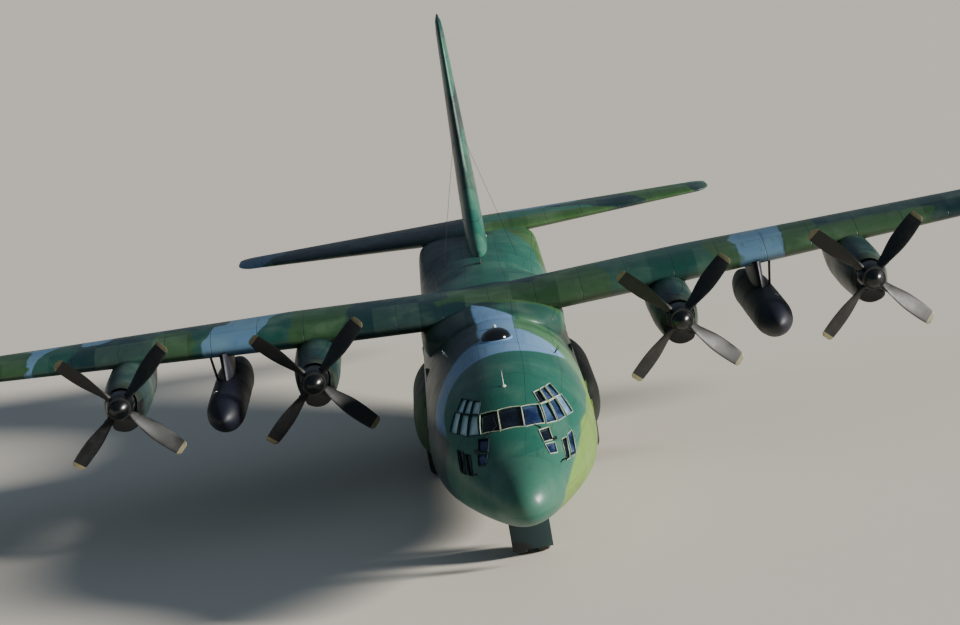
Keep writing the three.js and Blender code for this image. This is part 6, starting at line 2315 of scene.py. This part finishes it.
@dataclass
class Interior:
    """What shows through the windows, doors and the open ramp."""

    frames: int = 12
    frame_span: tuple[float, float] = (6.9, 18.3)
    wells: tuple[float, float] = (12.2, 15.7)
    rail_places: tuple[float, ...] = (-1.05, -0.35, 0.35, 1.05)
    dial_rows: tuple[float, ...] = (2.42, 2.6, 2.78)
    dial_places: tuple[float, ...] = tuple(mix(-0.9, 0.9, i / 11) for i in range(12))

    def build(self) -> None:
        """Dresses the flight deck and the hold."""
        dress_node("flight_deck", "cockpit_grey")
        dress_node("cargo_floor", "hold_floor")
        for name in ("left", "right"):
            dress_node(f"pilot_seat_{name}", "seat_cloth")
        self.glazing()
        self.instruments()
        self.hold()
        LOG.info("interior")

    def glazing(self) -> None:
        """Stands a dark inner liner in for the plain glazing solid."""
        liner = HULL.loft("window_liner", 1.8, 1.83, 0.03, 48, -WALL - 0.05)
        dress(liner, "instrument_black", replaces="flight_deck_glazing", degrees=0)

    def instruments(self) -> None:
        """Builds the dials, the coaming and the two control columns."""
        lean = 0.21
        dial = ((-0.01, 0.055), (0.006, 0.055), (0.008, 0.045), (0.002, 0.04), (0.002, 0.01))
        dials = [turned("dial", dial, at(x, 2.6 + (z - 2.2) * lean + 0.004, z), Vector((0, 1, -lean)), 20)
                 for x, z in product(self.dial_places, self.dial_rows)]
        dress(joined("instrument_dials", dials), "instrument_black")
        coaming = side_prism("coaming", 1.0, (
            (2.3, 3.205), (2.9, 3.16), (2.92, 3.19), (2.6, 3.24), (2.3, 3.24)))
        dress(bevelled(coaming, 0.006), "anti_glare_black")
        for name, side in SIDES.items():
            x = side * 0.62
            column = rod("column", at(x, 2.98, 2.2), at(x, 3.05, 2.86), 0.03, 0.025)
            wheel = closed_ring("wheel", [(0.014 * math.cos(t), 0.15 + 0.014 * math.sin(t)) for t in (
                math.tau * i / 8 for i in range(8))], at(x, 3.06, 2.88), Vector((0, 1, 0.15)), 32)
            spoke = rod("spoke", at(x - 0.15, 3.06, 2.88), at(x + 0.15, 3.06, 2.88), 0.012, sides=10)
            dress(joined(f"control_column_{name}", [column, wheel, spoke]), "instrument_black")

    def hold(self) -> None:
        """Builds the hold's hoop frames, which leave out the wheel wells, and its floor rails."""
        stations = [mix(*self.frame_span, i / (self.frames - 1)) for i in range(self.frames)]
        frames = [hull_frame(s, 0.05, 0.07, 3, 1.1, 4.2)
                  for s in stations if not self.wells[0] < s < self.wells[1]]
        dress(joined("hold_frames", frames), "hold_lining")
        rails = [block("rail", (x - 0.03, 6.4, HOLD_FLOOR), (x + 0.03, 18.6, HOLD_FLOOR + 0.015))
                 for x in self.rail_places]
        dress(joined("hold_floor_rails", rails), "bare_metal", degrees=0)


# Stage


@dataclass(frozen=True)
class Stage:
    """The floor, the lights and the camera; angles are in degrees, and the eye is a real place."""

    floor_size: float = 600
    sun_power: float = 8.0
    sun_spread: float = 10
    sun_colour: Colour = (1.0, 0.97, 0.91)
    sun_direction: Point = (-0.92, 0.26, -0.27)
    sky_colour: tuple[float, float, float, float] = (0.6, 0.77, 1.0, 1.0)
    sky_power: float = 0.19
    sensor_width: float = 36.0
    focal_length: float = 91.24
    eye: Point = (-0.3465, -53.744, 17.774)
    heading: float = -0.051
    dip: float = -11.326
    roll: float = -9.852

    def build(self) -> None:
        """Builds the stage."""
        self.floor()
        self.lights()
        self.camera()

    def floor(self) -> None:
        """Lays a plain pale floor that reaches behind the aircraft to the top of the view."""
        deselect()
        bpy.ops.mesh.primitive_plane_add(size=self.floor_size, location=(0, self.floor_size * 0.3, -0.002))
        floor = placed(bpy.context.object)
        floor.name = floor.data.name = "floor"
        shader = Shader("floor_plaster")
        clouds = shader.noise(shader.place, 0.35, 4.0)
        shader.set(Base_Color=shader.tint(clouds * 0.5, rgb(232, 224, 210), rgb(224, 215, 200)),
                   Roughness=clouds * 0.1 + 0.85, Metallic=0.0)
        floor.data.materials.append(shader.material)

    def lights(self) -> None:
        """Hangs a soft key light on the left wing's side and a weak fill all round."""
        key = bpy.data.lights.new("key", "SUN")
        key.energy, key.angle, key.color = self.sun_power, math.radians(self.sun_spread), self.sun_colour
        lamp = bpy.data.objects.new("key", key)
        lamp.rotation_euler = Vector(self.sun_direction).to_track_quat("-Z", "Y").to_euler()
        bpy.context.scene.collection.objects.link(lamp)
        world = bpy.data.worlds.new("soft_box")
        bpy.context.scene.world = world
        world.use_nodes = True
        sky = world.node_tree.nodes["Background"]
        sky.inputs["Color"].default_value = self.sky_colour
        sky.inputs["Strength"].default_value = self.sky_power

    def camera(self) -> None:
        """Stands the camera ahead of the aircraft, looking a little down, and rolled."""
        lens = bpy.data.cameras.new("camera")
        lens.sensor_width, lens.lens, lens.clip_end = self.sensor_width, self.focal_length, 2000.0
        camera = bpy.data.objects.new("camera", lens)
        heading, dip, roll = (math.radians(angle) for angle in (self.heading, self.dip, self.roll))
        turn = Matrix.Rotation(heading, 3, "Z") @ Matrix.Rotation(math.pi / 2 + dip, 3, "X")
        turn = turn @ Matrix.Rotation(roll, 3, "Z")
        camera.matrix_world = Matrix.Translation(at(*self.eye)) @ turn.to_4x4()
        bpy.context.scene.collection.objects.link(camera)
        bpy.context.scene.camera = camera


def main() -> None:
    """Builds the aircraft's sub-assemblies in order and reports each."""
    logging.basicConfig(level=logging.INFO, format="%(message)s")
    deselect()
    Stage().build()
    PAINT.update(coats())
    Fuselage().build()
    for pane in WINDOWS:
        pane.build()
    LOG.info("windows: %d", len(WINDOWS))
    Interior().build()
    Roof().build()
    Wing().build()
    RootFairing().build()
    outer, inner = ENGINE_PLACES
    for number, x in enumerate((outer, inner, -inner, -outer), 1):
        Engine(number, x).build()
    for name, side in SIDES.items():
        FuelTank(name, side).build()
        MainGear(name, side).build()
    Tail().build()
    NoseGear().build()


if __name__ == "__main__":
    main()
